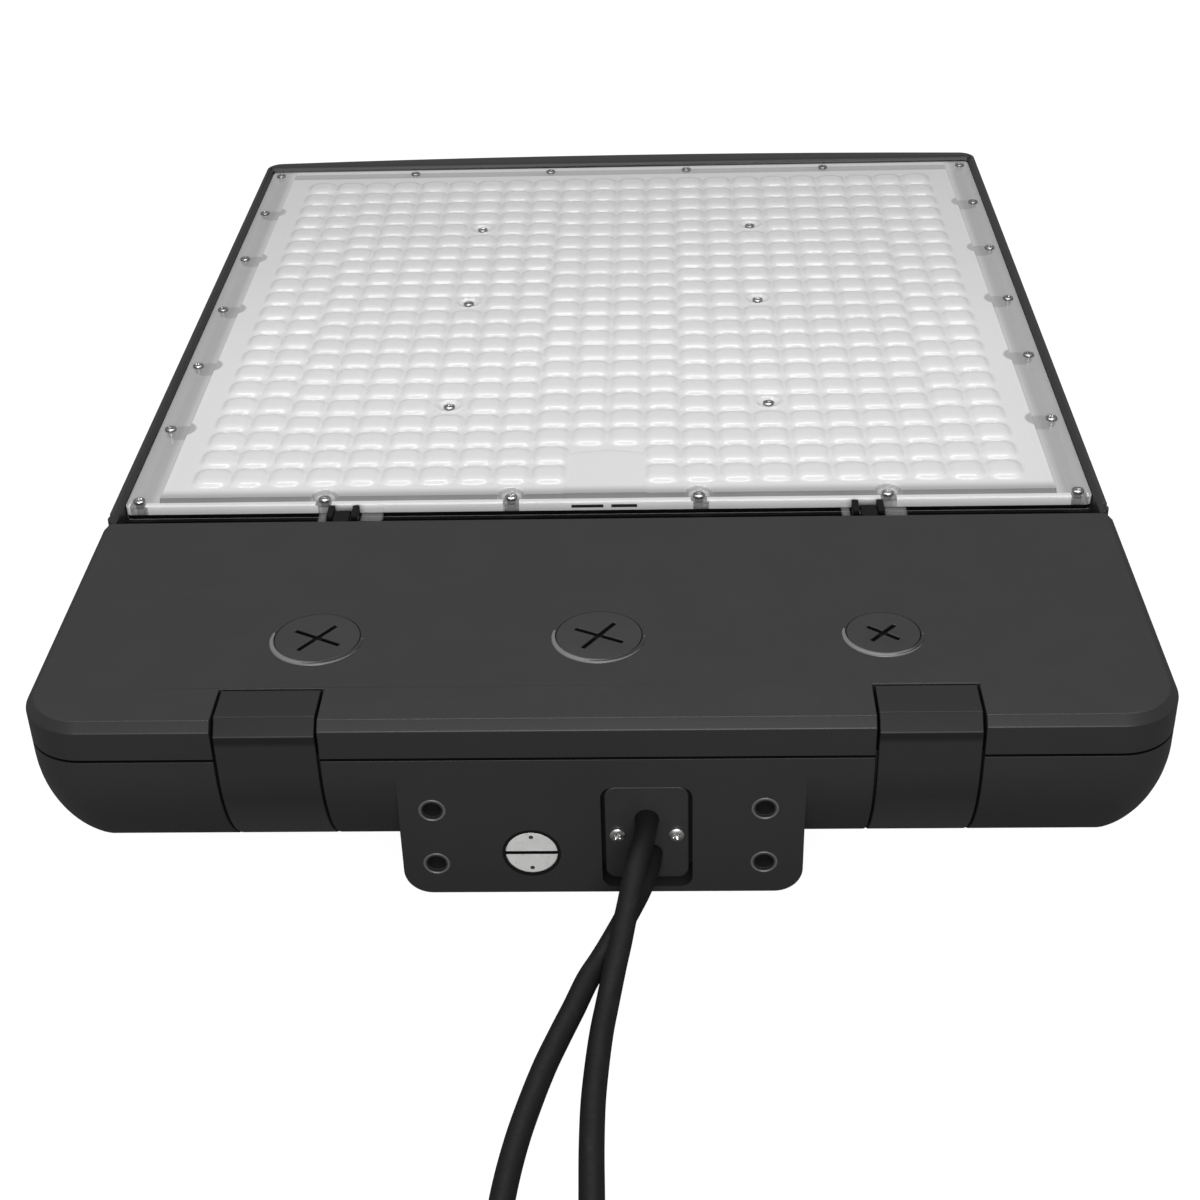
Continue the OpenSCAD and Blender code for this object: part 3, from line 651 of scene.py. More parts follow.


# painted shade: the housing's top rim, seen through the parting gap, gets the near-black shade material
rounded("housing", "fixture", M["casting"], 0.45, weight=housing_edges, dark=lambda c: c.z > 59.45)
# painted shade: the hinge ears and the strip under the near edge of the lens get the near-black shade material
rounded("led_frame", "fixture", M["casting"], 0.35,
        cut=-119.2, dark=lambda c: (-131.2 < c.y < -121.5 and abs(abs(c.x) - 105) < 6.5 and c.z > 66.1) or (c.y < -119.2 and 60 < c.z < 66.2 and abs(c.x) < 195.8))
# painted shade: the hinge arm and the lower faces at the parting gap get the near-black shade material
rounded("door", "door", M["door"], 0.40, weight=door_edges, dark=lambda c: c.y > -134.6 or c.z < 60.6)
rounded("latch_left", "latch_left", M["strap"], 0.45)
rounded("latch_right", "latch_right", M["strap"], 0.45)
rounded("heat_sink_plate", "fixture", M["sink"], 0.30)
rounded("heat_sink_fins", "fixture", M["sink"], 0.30)
rounded("gland_plate", "fixture", M["plate"], 0.50)
rounded("led_driver", "fixture", M["driver"], 0.8)
rounded("surge_protector", "fixture", M["module"], 0.8)
rounded("terminal_block", "fixture", M["terminal"], 0.3)
for side in ("left", "middle", "right"):
    px, pr = {"left": (-102, 15.3), "middle": (0, 15.3), "right": (102, 13)}[side]
    # painted shade: the recessed faces inside each plug top get the near-black shade material
    o = rounded("door_plug_" + side, "door", M["plug"], 0.3,
                dark=lambda c: 73.0 < c.z < 74.9 and math.hypot(c.x - px, c.y + 218.8) < pr - 0.9)
    for v in o.data.vertices:
        dx, dy = v.co.x / MM - px, v.co.y / MM + 218.8
        d = math.hypot(dx, dy)
        if v.co.z > 0.0722 and d > pr - 0.7:
            k = 0.38 * MM * (0.5 + 0.5 * dy / d) / d
            v.co.x += dx * k
            v.co.y += dy * k

carry(["frame_bolts", "driver_screws"], M["zinc"])
carry(["door_gasket", "door_plug_seals", "conduit_plug_seal", "gland_seal"], M["seal"])
carry(["door_hinge_pins", "latch_pins"], M["pin"])
carry(["ground_screw"], M["ground"])
carry(["cable_stubs"], M["cord"])


def plug_lips():
    """Raised crescent along the near side of each plug, highest towards the near left. Its light grey colour is a
    painted highlight.
    """
    verts, faces = [], []
    n, m = 72, 7
    for cx, r in ((-102, 15.3), (0, 15.3), (102, 13)):
        b = len(verts)
        for k in range(n + 1):
            a = rad(168 + 190 * k / n)
            h = 0.06 + 0.66 * max(0.0, math.cos(a - rad(252))) ** 0.8
            w = 0.45 + 0.75 * max(0.0, math.cos(a - rad(262))) ** 0.7
            for q in range(m):
                g = pi * q / (m - 1)
                rr = r + 1.15 - math.cos(g) * w
                verts.append(Vector((cx + rr * math.cos(a), -218.8 + rr * math.sin(a), 74.98 + h * math.sin(g))))
        for k in range(n):
            for q in range(m - 1):
                c = b + k * m + q
                faces.append((c, c + 1, c + m + 1, c + m))
    o = add("plug_lips", "door", [M["lip"]], verts, faces)
    sharpen(o, 60)


plug_lips()


def mount_hole_rims():
    # the rims round the mount holes are coloured light grey as a painted highlight
    verts, faces = [], []
    for cx in MOUNT_X:
        for z in (13.7, 37.7):
            lathe([(4.75, 0.0), (4.55, 0.16), (4.3, 0.22), (3.42, -0.3), (3.39, -0.9)], 40, verts, faces, at(cx, -272.0, z, "y"))
    o = add("mount_hole_rims", "fixture", [M["rim"]], verts, faces)
    sharpen(o, 40)


MOUNT_X = (-58, 58)
mount_hole_rims()


def conduit_recess_shade_ring():
    """A near-black ring of painted shade round the edge of the recess that the slotted plug sits in."""
    verts, faces = [], []
    lathe([(9.3, -0.4), (9.3, 0.18), (10.3, 0.18), (10.4, -0.1)], 64, verts, faces, at(-24.0, -272.0, 18.3, "y"))
    o = add("conduit_recess_shade_ring", "fixture", [M["shade"]], verts, faces)
    sharpen(o, 40)


conduit_recess_shade_ring()


# ---------------------------------------------------------------- slotted plug of the conduit entry
def conduit_plug():
    s = Shader("plug_turned")
    ring = s.node("TexWave", Vector=s.node("Mapping", Vector=s.co, Location=(0.024, 0.2717, -0.0183)).outputs[0], Scale=420.0, Distortion=1.2, Detail=2.0)
    ring.wave_type = "RINGS"
    ring.rings_direction = "Y"
    smudge = s.noise(140.0, 4.0)
    pits = s.ramp(s.noise(420.0, 3.0, 0.7), [(0.58, 0.0), (0.7, 1.0)])
    c = s.mix(smudge, (0.74, 0.74, 0.73), (0.90, 0.90, 0.89))
    s.set(Base__Color=s.mix(s.math("MULTIPLY", pits, 0.35), c, (0.42, 0.42, 0.42)), Metallic=0.42)
    s.set(Roughness=s.node("MapRange", Value=smudge, i1=0.3, i2=0.7, i3=0.34, i4=0.5).outputs[0])
    s.set(Normal=s.bump(ring.outputs[1], 0.25, 0.00005, s.bump(pits, 0.3, 0.00008)))
    verts, faces = [], []
    p = at(-24, -271.7, 18.3, "y")
    slot_faces = []
    n = 44
    prof = [(8.85, 0.0), (9.2, -0.18), (9.4, -0.5)]
    w, floor = 0.7, -1.35
    for sgn in (1, -1):
        rings = []
        for r, h in prof:
            a0 = math.asin(w / r)
            rings.append([len(verts) + k for k in range(n + 1)])
            for k in range(n + 1):
                a = a0 + (pi - 2 * a0) * k / n
                verts.append(p(r * math.cos(a), sgn * r * math.sin(a), h))
        low = [len(verts) + k for k in range(n + 1)]
        a0 = math.asin(w / 9.4)
        for k in range(n + 1):
            a = a0 + (pi - 2 * a0) * k / n
            verts.append(p(9.4 * math.cos(a), sgn * 9.4 * math.sin(a), floor))
        f = []
        f.append(tuple(rings[0]))
        for a, b in list(zip(rings, rings[1:])) + [(rings[-1], low)]:
            for k in range(n):
                f.append((a[k], b[k], b[k + 1], a[k + 1]))
        # wall of the slot
        f.append(tuple([rings[0][0], rings[0][-1], rings[1][-1], rings[2][-1], low[-1], low[0], rings[2][0], rings[1][0]]))
        slot_faces.append(len(faces) + len(f) - 1)
        faces += f if sgn > 0 else [q[::-1] for q in f]
        if sgn > 0:
            up = (low[0], low[-1])
        else:
            slot_faces.append(len(faces))
            faces.append((up[0], up[1], low[-1], low[0]))
    lathe([(9.4, floor), (9.4, -2.9), (8.4, -2.9)], 64, verts, faces, p)
    prof = [(8.4, -2.9)]
    z = -3.2
    while z > -16.2:
        prof += [(8.0, z), (8.4, z - 0.5)]
        z -= 1.0
    prof += [(7.6, -16.7), (0.0, -16.7)]
    lathe(prof, 64, verts, faces, p)
    plain = len(faces)
    for dz in (-6.9, 6.9):
        # two shallow punch marks, coloured near-black as painted shade
        lathe([(0.85, -0.02), (0.75, 0.05), (0.45, 0.02), (0.0, 0.01)], 16, verts, faces, at(-24, -271.7, 18.3 + dz, "y"))
    # the walls and floor of the slot get painted shade in the near-black shade material
    o = add("conduit_plug_slotted", "fixture", [s.m, M["shade"], M["module"]], verts, faces,
            [1 if i in slot_faces else 0 if i < plain else 2 for i in range(len(faces))], replaces=("conduit_plug",))
    sharpen(o, 25)


conduit_plug()

# ---------------------------------------------------------------- screws
PITCH, ROW0 = 15.5, -100.0
LONG = 325.5 / 20
END_X = (-190, -114, -38, 38, 114, 190)
RIM = [(x, y) for y in (-115.2, 251.0) for x in END_X] + [(s * 190, -52.6 + 62.1 * i) for s in (-1, 1) for i in range(5)]
FIELD = [(s * 4.5 * PITCH, ROW0 + j * PITCH) for s in (-1, 1) for j in (4, 11, 17)]


def turned(place, angle):
    c, s_ = math.cos(angle), math.sin(angle)
    return lambda x, y, h: place(x * c - y * s_, x * s_ + y * c, h)


def screws(name, spots, z0, z1, node):
    verts, faces = [], []
    for i, (x, y) in enumerate(spots):
        pan_head(turned(at(x, y, z1), 0.7 * i + 0.3), 2.45, 1.4, verts, faces, cross=0.9)
        thread(at(x, y, 0), 1.5, z0 + 0.02, z1, 0.9, 0.22, verts, faces)
    o = add(name, "fixture", [M["screw"]], verts, faces, replaces=(node,))
    sharpen(o, 34)


screws("rim_screws_finished", RIM, 60, 73, "lens_rim_screws")
screws("field_screws_finished", FIELD, 60.5, 74.5, "lens_field_screws")

verts, faces = [], []
for i, sx in enumerate((-1, 1)):
    pan_head(turned(at(16.8 + sx * 10.4, -270.6, 25.5, "y"), 0.9 + i), 2.8, 1.38, verts, faces, 20, 0.9)
    thread(at(16.8 + sx * 10.4, -270.6, 25.5, "y"), 1.5, -15.5, 0.0, 0.9, 0.22, verts, faces)
sharpen(add("gland_screws_finished", "fixture", [M["zinc"]], verts, faces, replaces=("gland_screws",)), 34)


# ---------------------------------------------------------------- leads inside the compartment
LEADS = [
    ((0.018, 0.018, 0.018), [(15, -245.8, 32), (14.6, -243.8, 32.2), (10, -241.5, 33), (4, -239.5, 32.8), (-2, -237.5, 31), (-12, -235, 27), (-30, -233, 22),
     (-52, -228, 20), (-68, -220, 20), (-76, -206, 20), (-78, -192, 21), (-79, -180, 22), (-82, -171, 22), (-90.5, -165, 21.3)]),
    ((0.78, 0.78, 0.76), [(17.7, -245.8, 33.8), (17.4, -243.6, 34.6), (12, -239.5, 37), (4, -236, 37.5), (-4, -233, 35), (-14, -231, 33), (-32, -229, 31),
     (-50, -223, 29), (-63, -213, 28), (-71, -200, 27.5), (-74, -186, 28), (-80, -175, 29), (-90, -169, 27), (-102.25, -165, 21.3)]),
    ((0.05, 0.28, 0.09), [(17.7, -245.8, 30.2), (17.6, -243.8, 29.6), (14, -242.2, 26.5), (8, -241, 22.5), (-6, -239, 17), (-24, -236, 12), (-44, -228, 9),
     (-55, -212, 8.5), (-60, -190, 8), (-64, -172, 8), (-65, -164.5, 8.8)]),
    ((0.26, 0.12, 0.33), [(16.3, -245.8, 16.6), (15.9, -243.8, 16.2), (11, -240, 13.5), (1, -234, 12), (-8, -227, 13), (-20, -225, 14), (-33, -225.5, 16),
     (-43, -216, 19), (-43, -202, 23), (-41.5, -192, 25), (-39.6, -187.6, 26), (-38, -187, 26), (-36.4, -187, 26)]),
    ((0.36, 0.36, 0.37), [(19.7, -245.8, 16.6), (19.4, -243.2, 16.8), (15, -238, 17.8), (6, -233, 17), (-6, -230, 18), (-20, -227, 21), (-34, -225, 24),
     (-41, -216, 28), (-43, -204, 31), (-42, -190, 33), (-40.6, -182.5, 33), (-38.2, -181, 33), (-36.4, -181, 33)]),
    ((0.45, 0.04, 0.03), [(-36.4, -166, 30), (-38.4, -165.8, 30.1), (-43, -163, 31), (-52, -157, 31), (-62, -151, 31), (-71, -147, 31), (-77, -144, 30.5),
     (-79.5, -139, 30), (-80, -136.4, 30)]),
]
verts, faces, fmat, mats = [], [], [], []
for i, (c, pts) in enumerate(LEADS):
    f0 = len(faces)
    tube_mesh(catmull(pts, 1.6), 1.2, 12, verts, faces)
    fmat += [i] * (len(faces) - f0)
    mats.append(plastic("lead_insulation_%d" % i, c, 0.38))
sharpen(add("internal_leads_finished", "fixture", mats, verts, faces, fmat, replaces=("internal_leads",)), 60)


# ---------------------------------------------------------------- light-emitting part
def board_finish():
    s = Shader("board_white")
    big = s.noise(9.0, 3.0)
    tr = s.node("TexBrick", Vector=s.co, Color1=(0, 0, 0, 1), Color2=(0, 0, 0, 1), Mortar=(1, 1, 1, 1), Scale=64.5)
    tr.offset = 0.5
    tr.inputs["Mortar Size"].default_value = 0.03
    tr.inputs["Brick Width"].default_value = 1.0
    tr.inputs["Row Height"].default_value = 1.0
    traces = s.mix(s.math("MULTIPLY", tr.outputs[0], 0.14), s.mix(big, (0.80, 0.80, 0.79), (0.86, 0.86, 0.85)), (0.52, 0.52, 0.50))
    s.set(Base__Color=traces)
    s.set(Roughness=s.node("MapRange", Value=s.noise(80.0), i1=0.3, i2=0.7, i3=0.34, i4=0.46).outputs[0])
    s.set(Normal=s.bump(tr.outputs[0], 0.25, 0.00006))
    return s.m


carry(["led_board_left", "led_board_middle", "led_board_right"], board_finish())


def lenslets():
    """Centres of all lenslets: (x, y)."""
    out = []
    for k in range(11):
        few = k <= 1 or k >= 9
        for s in (-1, 1):
            for j in range(21 if few else 22):
                x = s * (0.5 + k) * PITCH
                y = ROW0 + j * (LONG if few else PITCH)
                if k == 0 and y < -80:
                    continue
                if any(abs(x - a) < 4 and abs(y - b) < 4 for a, b in FIELD):
                    continue
                out.append((x, y))
    return out


def leds():
    body = plastic("led_package", (0.82, 0.82, 0.80), 0.45)
    s = Shader("led_phosphor")
    s.set(Base__Color=s.mix(s.noise(900.0), (0.80, 0.74, 0.45), (0.88, 0.83, 0.58)), Roughness=0.35)
    s.b.inputs["Subsurface Weight"].default_value = 0.0
    s.set(Normal=s.bump(s.noise(2500.0), 0.2, 0.00003))
    dome = s.m
    verts, faces, fmat = [], [], []
    for x, y in lenslets():
        f0 = len(faces)
        lo, hi, c = 67.6, 68.5, 0.35
        b = len(verts)
        for z, e in ((lo, 2.5), (hi - 0.15, 2.5), (hi, 2.35)):
            for px, py in ((e, e - c), (e - c, e), (c - e, e), (-e, e - c), (-e, c - e), (c - e, -e), (e - c, -e), (e, c - e)):
                verts.append((x + px, y + py, z))
        for r in (0, 8):
            for k in range(8):
                faces.append((b + r + k, b + r + (k + 1) % 8, b + r + 8 + (k + 1) % 8, b + r + 8 + k))
        faces.append(tuple(b + 16 + k for k in range(8)))
        faces.append(tuple(b + 7 - k for k in range(8)))
        fmat += [0] * (len(faces) - f0)
        f0 = len(faces)
        lathe([(0.0, 68.45), (2.0, 68.45), (2.0, 68.6), (1.7, 69.2), (1.0, 69.7), (0.0, 69.9)], 14, verts, faces, at(x, y, 0))
        fmat += [1] * (len(faces) - f0)
    sharpen(add("led_packages", "fixture", [body, dome], verts, faces, fmat), 40)


leds()


def bump_near(t, centres, half):
    v = 0.0
    for c in centres:
        d = abs(t - c)
        if d < half:
            v = max(v, 0.5 + 0.5 * math.cos(pi * d / half))
    return v


def lens_gasket():
    web = rubber("gasket_web", (0.62, 0.62, 0.61), 0.5, 0.05)
    bead = rubber("gasket_grey", (0.20, 0.20, 0.205), 0.55, 0.1)
    verts, faces, fmat = [], [], []

    def ring(outer, inner, z0, z1, mat):
        f0 = len(faces)
        n = len(outer)
        b = len(verts)
        for loop, z in ((outer, z0), (outer, z1 - 0.15), (outer, z1), (inner, z1), (inner, z1 - 0.15), (inner, z0)):
            for k, p in enumerate(loop):
                if loop is outer and z == z1:
                    q = inner[k]
                    p = (p[0] + (q[0] - p[0]) * 0.04, p[1] + (q[1] - p[1]) * 0.04)
                verts.append((p[0], p[1], z))
        for r in range(6):
            for k in range(n):
                a, c = b + r * n, b + ((r + 1) % 6) * n
                faces.append((a + k, a + (k + 1) % n, c + (k + 1) % n, c + k))
        fmat.extend([mat] * (len(faces) - f0))

    def loops(out, inn):
        """out and inn give the offset at a point of each side: near, right, far, left."""
        o, i = [], []
        nx, ny = 180, 170
        for side, n in ((0, nx), (1, ny), (2, nx), (3, ny)):
            for k in range(n):
                t = k / n
                for f, dst in ((out, o), (inn, i)):
                    x0, x1, y0, y1 = f(None, 3), f(None, 1), f(None, 0), f(None, 2)
                    if side == 0:
                        x = x0 + (x1 - x0) * t
                        dst.append((x, f(x, 0)))
                    elif side == 1:
                        y = y0 + (y1 - y0) * t
                        dst.append((f(y, 1), y))
                    elif side == 2:
                        x = x1 + (x0 - x1) * t
                        dst.append((x, f(x, 2)))
                    else:
                        y = y1 + (y0 - y1) * t
                        dst.append((f(y, 3), y))
        return o, i

    sy = [-52.6 + 62.1 * i for i in range(5)]

    def flat(a, b, c, d):
        return lambda t, s: (a, b, c, d)[s]

    def scallop(t, s):
        if s == 0:
            return -115.9 + (0 if t is None else 2.2 * bump_near(t, (-190, -114, -38, 38, 114, 190), 9))
        if s == 2:
            return 248.5 - (0 if t is None else 3.0 * bump_near(t, (-190, -114, -38, 38, 114, 190), 13))
        v = 185.5 - (0 if t is None else 3.0 * bump_near(t, sy, 13))
        return v if s == 1 else -v

    ring(*loops(flat(-117.2, 194.6, 257.0, -194.6), flat(-110.5, 182.5, 240.0, -182.5)), 66.0, 66.55, 0)
    ring(*loops(flat(-117.0, 193.0, 253.6, -193.0), scallop), 66.5, 67.2, 1)
    sharpen(add("lens_gasket_beaded", "fixture", [web, bead], verts, faces, fmat, replaces=("lens_gasket",)), 40)


lens_gasket()


def side_bulge(s, pos):
    """Mask of the half-round bulges that the flange makes into the field beside each side screw."""
    ax = s.math("ABSOLUTE", pos.outputs[0])
    dy = s.math("SUBTRACT", s.math("MODULO", s.math("ADD", pos.outputs[1], 0.0556 + 0.03105 + 0.621), 0.0621), 0.03105)
    reach = s.math("SQRT", s.math("ADD", s.math("POWER", s.math("SUBTRACT", ax, 0.1846), 2.0), s.math("POWER", dy, 2.0)))
    disc = s.node("MapRange", _interpolation_type="SMOOTHSTEP", Value=reach, i1=0.0058, i2=0.0072, i3=1.0, i4=0.0).outputs[0]
    low = s.node("MapRange", Value=pos.outputs[1], i1=-0.08, i2=-0.079, i3=0.0, i4=1.0).outputs[0]
    high = s.node("MapRange", Value=pos.outputs[1], i1=0.22, i2=0.221, i3=1.0, i4=0.0).outputs[0]
    return s.math("MULTIPLY", disc, s.math("MULTIPLY", low, high))


def lens_field_material():
    s = Shader("lens_field")
    flow = s.noise(11.0, 3.0)
    fine = s.noise(260.0, 3.0)
    dust = s.ramp(s.noise(900.0, 2.0, 0.6), [(0.66, 0.0), (0.74, 1.0)])
    c = s.mix(flow, (0.73, 0.73, 0.73), (0.79, 0.79, 0.79))
    pos = s.node("SeparateXYZ", Vector=s.co)
    # wave, reach and arch mark a dark line of painted shade arching round each near screw where the field steps down
    wave = s.math("SUBTRACT", s.math("MODULO", s.math("ADD", pos.outputs[0], 0.76), 0.076), 0.038)
    reach = s.math("SQRT", s.math("ADD", s.math("POWER", wave, 2.0), s.math("POWER", s.math("ADD", pos.outputs[1], 0.1152), 2.0)))
    arch = s.node("MapRange", _interpolation_type="SMOOTHSTEP", Value=s.math("ABSOLUTE", s.math("SUBTRACT", reach, 0.0047)), i1=0.0002, i2=0.0007, i3=1.0, i4=0.0).outputs[0]
    border = s.node("MapRange", _interpolation_type="SMOOTHSTEP", Value=pos.outputs[1], i1=-0.1155, i2=-0.1085, i3=1.0, i4=0.0).outputs[0]
    c = s.mix(border, c, (0.40, 0.40, 0.40))
    c = s.mix(s.math("MULTIPLY", arch, 0.8), c, (0.33, 0.33, 0.33))
    # painted shade: darker towards the far end of the field
    c = s.mix(s.node("MapRange", Value=pos.outputs[1], i1=0.0, i2=0.25, i3=0.0, i4=0.38).outputs[0], c, (0.40, 0.40, 0.40))
    c = s.mix(s.math("MULTIPLY", side_bulge(s, pos), 0.85), c, (0.36, 0.36, 0.36))
    s.set(Base__Color=s.mix(s.math("MULTIPLY", dust, 0.12), c, (0.45, 0.45, 0.44)))
    s.set(Roughness=s.node("MapRange", Value=fine, i1=0.3, i2=0.7, i3=0.13, i4=0.19).outputs[0])
    s.set(Alpha=0.90, IOR=1.38)
    s.set(Normal=s.bump(s.noise(120.0, 2.0), 0.10, 0.0003))
    return s.m


def lens_flange_material():
    """Clear flange, a little lighter along the field and along the far edge."""
    s = Shader("lens_clear")
    pos = s.node("SeparateXYZ", Vector=s.co)
    ax = s.math("ABSOLUTE", pos.outputs[0])
    band = s.node("MapRange", _interpolation_type="SMOOTHSTEP", Value=ax, i1=0.1822, i2=0.1862, i3=1.0, i4=0.0).outputs[0]
    far = s.node("MapRange", Value=pos.outputs[1], i1=0.2528, i2=0.2536, i3=0.0, i4=1.0).outputs[0]
    far2 = s.node("MapRange", Value=pos.outputs[1], i1=0.2455, i2=0.2463, i3=1.0, i4=0.0).outputs[0]
    side = s.node("MapRange", Value=ax, i1=0.1815, i2=0.1825, i3=0.0, i4=1.0).outputs[0]
    ends = s.math("MAXIMUM", far, far2)
    light = s.math("MAXIMUM", s.math("MULTIPLY", s.math("MULTIPLY", band, side), 0.75), s.math("MULTIPLY", ends, s.math("SUBTRACT", 1.0, side)))
    fine = s.noise(180.0, 3.0)
    streak = s.noise(1.0, 4.0, 0.6, s.scaled(900, 26, 200))
    c = s.mix(light, (0.68, 0.68, 0.68), (0.78, 0.78, 0.78))
    c = s.mix(s.math("MULTIPLY", side_bulge(s, pos), 0.55), c, (0.36, 0.36, 0.36))
    s.set(Base__Color=s.mix(s.math("MULTIPLY", streak, 0.3), c, (0.42, 0.42, 0.42)))
    s.set(Roughness=s.node("MapRange", Value=fine, i1=0.3, i2=0.7, i3=0.10, i4=0.2).outputs[0])
    s.set(Alpha=s.node("MapRange", Value=light, i1=0.0, i2=1.0, i3=0.50, i4=0.74).outputs[0], IOR=1.5)
    s.set(Normal=s.bump(s.noise(70.0, 2.0), 0.08, 0.0004))
    return s.m


def clear_material(name, alpha, base=0.8, rough=0.1):
    s = Shader(name)
    s.set(Base__Color=s.mix(s.noise(30.0), (base - 0.05,) * 3, (base + 0.03,) * 3))
    s.set(Roughness=s.node("MapRange", Value=s.noise(150.0), i1=0.3, i2=0.7, i3=rough, i4=rough + 0.1).outputs[0])
    s.set(Alpha=alpha, IOR=1.5)
    s.set(Normal=s.bump(s.noise(60.0, 2.0), 0.12, 0.0004))
    return s.m


def lens_cover():
    X1, XA, XB = 195.2, 181.5, 181.0
    Y0, Y1 = -119.0, 258.0
    YA, YB, YC, YD = -116.2, -115.7, 240.0, 240.5

    def lines(marks, step):
        out = [marks[0]]
        for a, b in zip(marks, marks[1:]):
            n = max(1, int(round((b - a) / step)))
            out += [a + (b - a) * k / n for k in range(1, n + 1)]
        return out

    slots = [(-13.5, -0.6), (2.6, 13.0)]
    xs = lines([-X1, -X1 + 0.3, -XA, -XB, -170.5, -17.3, -13.5, -0.6, 2.6, 13.0, 17.3, 170.5, XB, XA, X1 - 0.3, X1], 0.92)
    ys = lines([Y0, Y0 + 0.3, YA, YB, -107.75, 233.25, YC, YD, Y1 - 0.3, Y1], 0.78)
    x, y = np.meshgrid(np.array(xs), np.array(ys))
    ax = np.abs(x)
    # lenslets
    k = np.floor(ax / PITCH)
    u = ax - (k + 0.5) * PITCH
    few = (k <= 1) | (k >= 9)
    p = np.where(few, LONG, PITCH)
    j = np.round((y - ROW0) / p)
    v = y - ROW0 - j * p
    wob = np.sin(12.9898 * (k * np.sign(x) + 3.1) + 78.233 * (j + 1.7)) * 43758.5453
    wob = wob - np.floor(wob)
    inside = (k <= 10) & (j >= 0) & (j <= np.where(few, 20, 21)) & (np.abs(v) <= p * 0.5 + 1e-6)
    a, b = 7.5, p * 0.5 - 0.25
    s = (np.abs(u / a) ** 3.2 + np.abs(v / b) ** 3.2) ** (1 / 3.2)
    dome = (1.74 + 0.10 * wob) * np.clip(1 - np.clip(s, 0, 1) ** 4.2, 0, 1)
    dome = np.where(inside, dome, 0.0)
    # sensor window in place of four lenslets, with an arched far edge
    far = -80.0 - 3.6 * (x / 17.0) ** 2
    edge = np.minimum(17.0 - ax, far - y)
    win = np.clip((edge + 0.4) / 0.8, 0, 1)
    dome = dome * (1 - win)
    four = (k == 0) & (j <= 1)
    dome = np.where(four, 0.0, dome)
    z = 75.0 + dome
    z = z + np.where(win > 0, 0.25 * win, 0)
    # wells and rings of the screws in the middle
    for cx, cy in FIELD:
        d = np.hypot(x - cx, y - cy)
        z = np.where(d < 9.5, 75.0 + (z - 75.0) * np.clip((d - 7.0) / 1.2, 0, 1), z)
        ringh = np.clip(1 - np.abs(d - 5.5) / 1.1, 0, 1)
        z = np.maximum(z, np.where(d < 7, 75.0 + 0.9 * ringh ** 0.7, 0))
        z = np.where(d < 4.3, 74.52, z)
    # border of the field
    down = np.maximum(np.maximum(ax - XB, YB - y), y - YC)
    z = np.where(down > 1e-6, 73.0, z)
    # notches at the near screws
    for cx in END_X[1:5]:
        d = np.hypot(x - cx, y + 115.2)
        t = np.clip((d - 4.4) / 0.9, 0, 1)
        z = np.where(d < 5.4, 73.0 + (z - 73.0) * t * t * (3 - 2 * t), z)
    z[0, :] = z[-1, :] = 72.7
    z[:, 0] = z[:, -1] = 72.7
    ny, nx = z.shape
    # round the four plan corners a little
    xx, yy = x.copy(), y.copy()
    r = 2.5
    for sx in (-1, 1):
        for cy, sy in ((Y0 + r, -1), (Y1 - r, 1)):
            cx = sx * (X1 - r)
            m = ((x - cx) * sx > 0) & ((y - cy) * sy > 0)
            dx, dy = (x - cx), (y - cy)
            big = np.maximum(np.abs(dx), np.abs(dy))
            d = np.hypot(dx, dy) + 1e-9
            xx = np.where(m, cx + dx * big / d, xx)
            yy = np.where(m, cy + dy * big / d, yy)
    verts = [Vector((float(px), float(py), float(pz))) for px, py, pz in zip(xx.ravel(), yy.ravel(), z.ravel())]
    faces, fmat = [], []
    field_x = (np.array(xs)[:-1] + np.array(xs)[1:]) / 2
    field_y = (np.array(ys)[:-1] + np.array(ys)[1:]) / 2
    for jj in range(ny - 1):
        iny = YA < field_y[jj] < YD
        for ii in range(nx - 1):
            q = jj * nx + ii
            faces.append((q, q + 1, q + nx + 1, q + nx))
            fx, fy = float(field_x[ii]), float(field_y[jj])
            near_strip = fy < YA and abs(fx) < X1 - 1
            if YA < fy < YB and abs(fx) < XA:
                fmat.append(6)
            elif iny and abs(fx) < XA:
                fmat.append(0)
            elif near_strip and min(abs(fx - e) for e in END_X) < 3.0 and fy < -116.2:
                fmat.append(5)
            else:
                fmat.append(4 if near_strip or abs(fx) > X1 - 0.3 else 1)
    # boundary, starting at the near left corner
    loop = [i for i in range(nx - 1)] + [jj * nx + nx - 1 for jj in range(ny - 1)]
    loop += [(ny - 1) * nx + nx - 1 - i for i in range(nx - 1)] + [(ny - 1 - jj) * nx for jj in range(ny - 1)]
    n = len(loop)

    def side(k):
        v = verts[loop[k]]
        return v

    def level(ring, fn, flipmat=1, skip=None):
        new = []
        for kk in range(n):
            base = verts[loop[kk]]
            new.append(len(verts))
            verts.append(Vector(fn(base)))
        for kk in range(n):
            k2 = (kk + 1) % n
            if skip and skip(verts[loop[kk]], verts[loop[k2]]):
                continue
            faces.append((ring[kk], new[kk], new[k2], ring[k2]))
            m = verts[loop[kk]]
            open_ = abs(m.y - Y0) < 1 and min(abs(m.x - e) for e in END_X) < 3.2
            fmat.append(5 if open_ and flipmat in (4, 9) else 1 if flipmat == 9 else 7 if flipmat == 8 and abs(m.y - Y0) < 1 else min(flipmat, 4) if flipmat == 8 else flipmat)
        return new

    def in_slot(p, q):
        mx = (p.x + q.x) / 2
        return abs(p.y - Y0) < 0.01 and abs(q.y - Y0) < 0.01 and any(a < mx < b for a, b in slots)

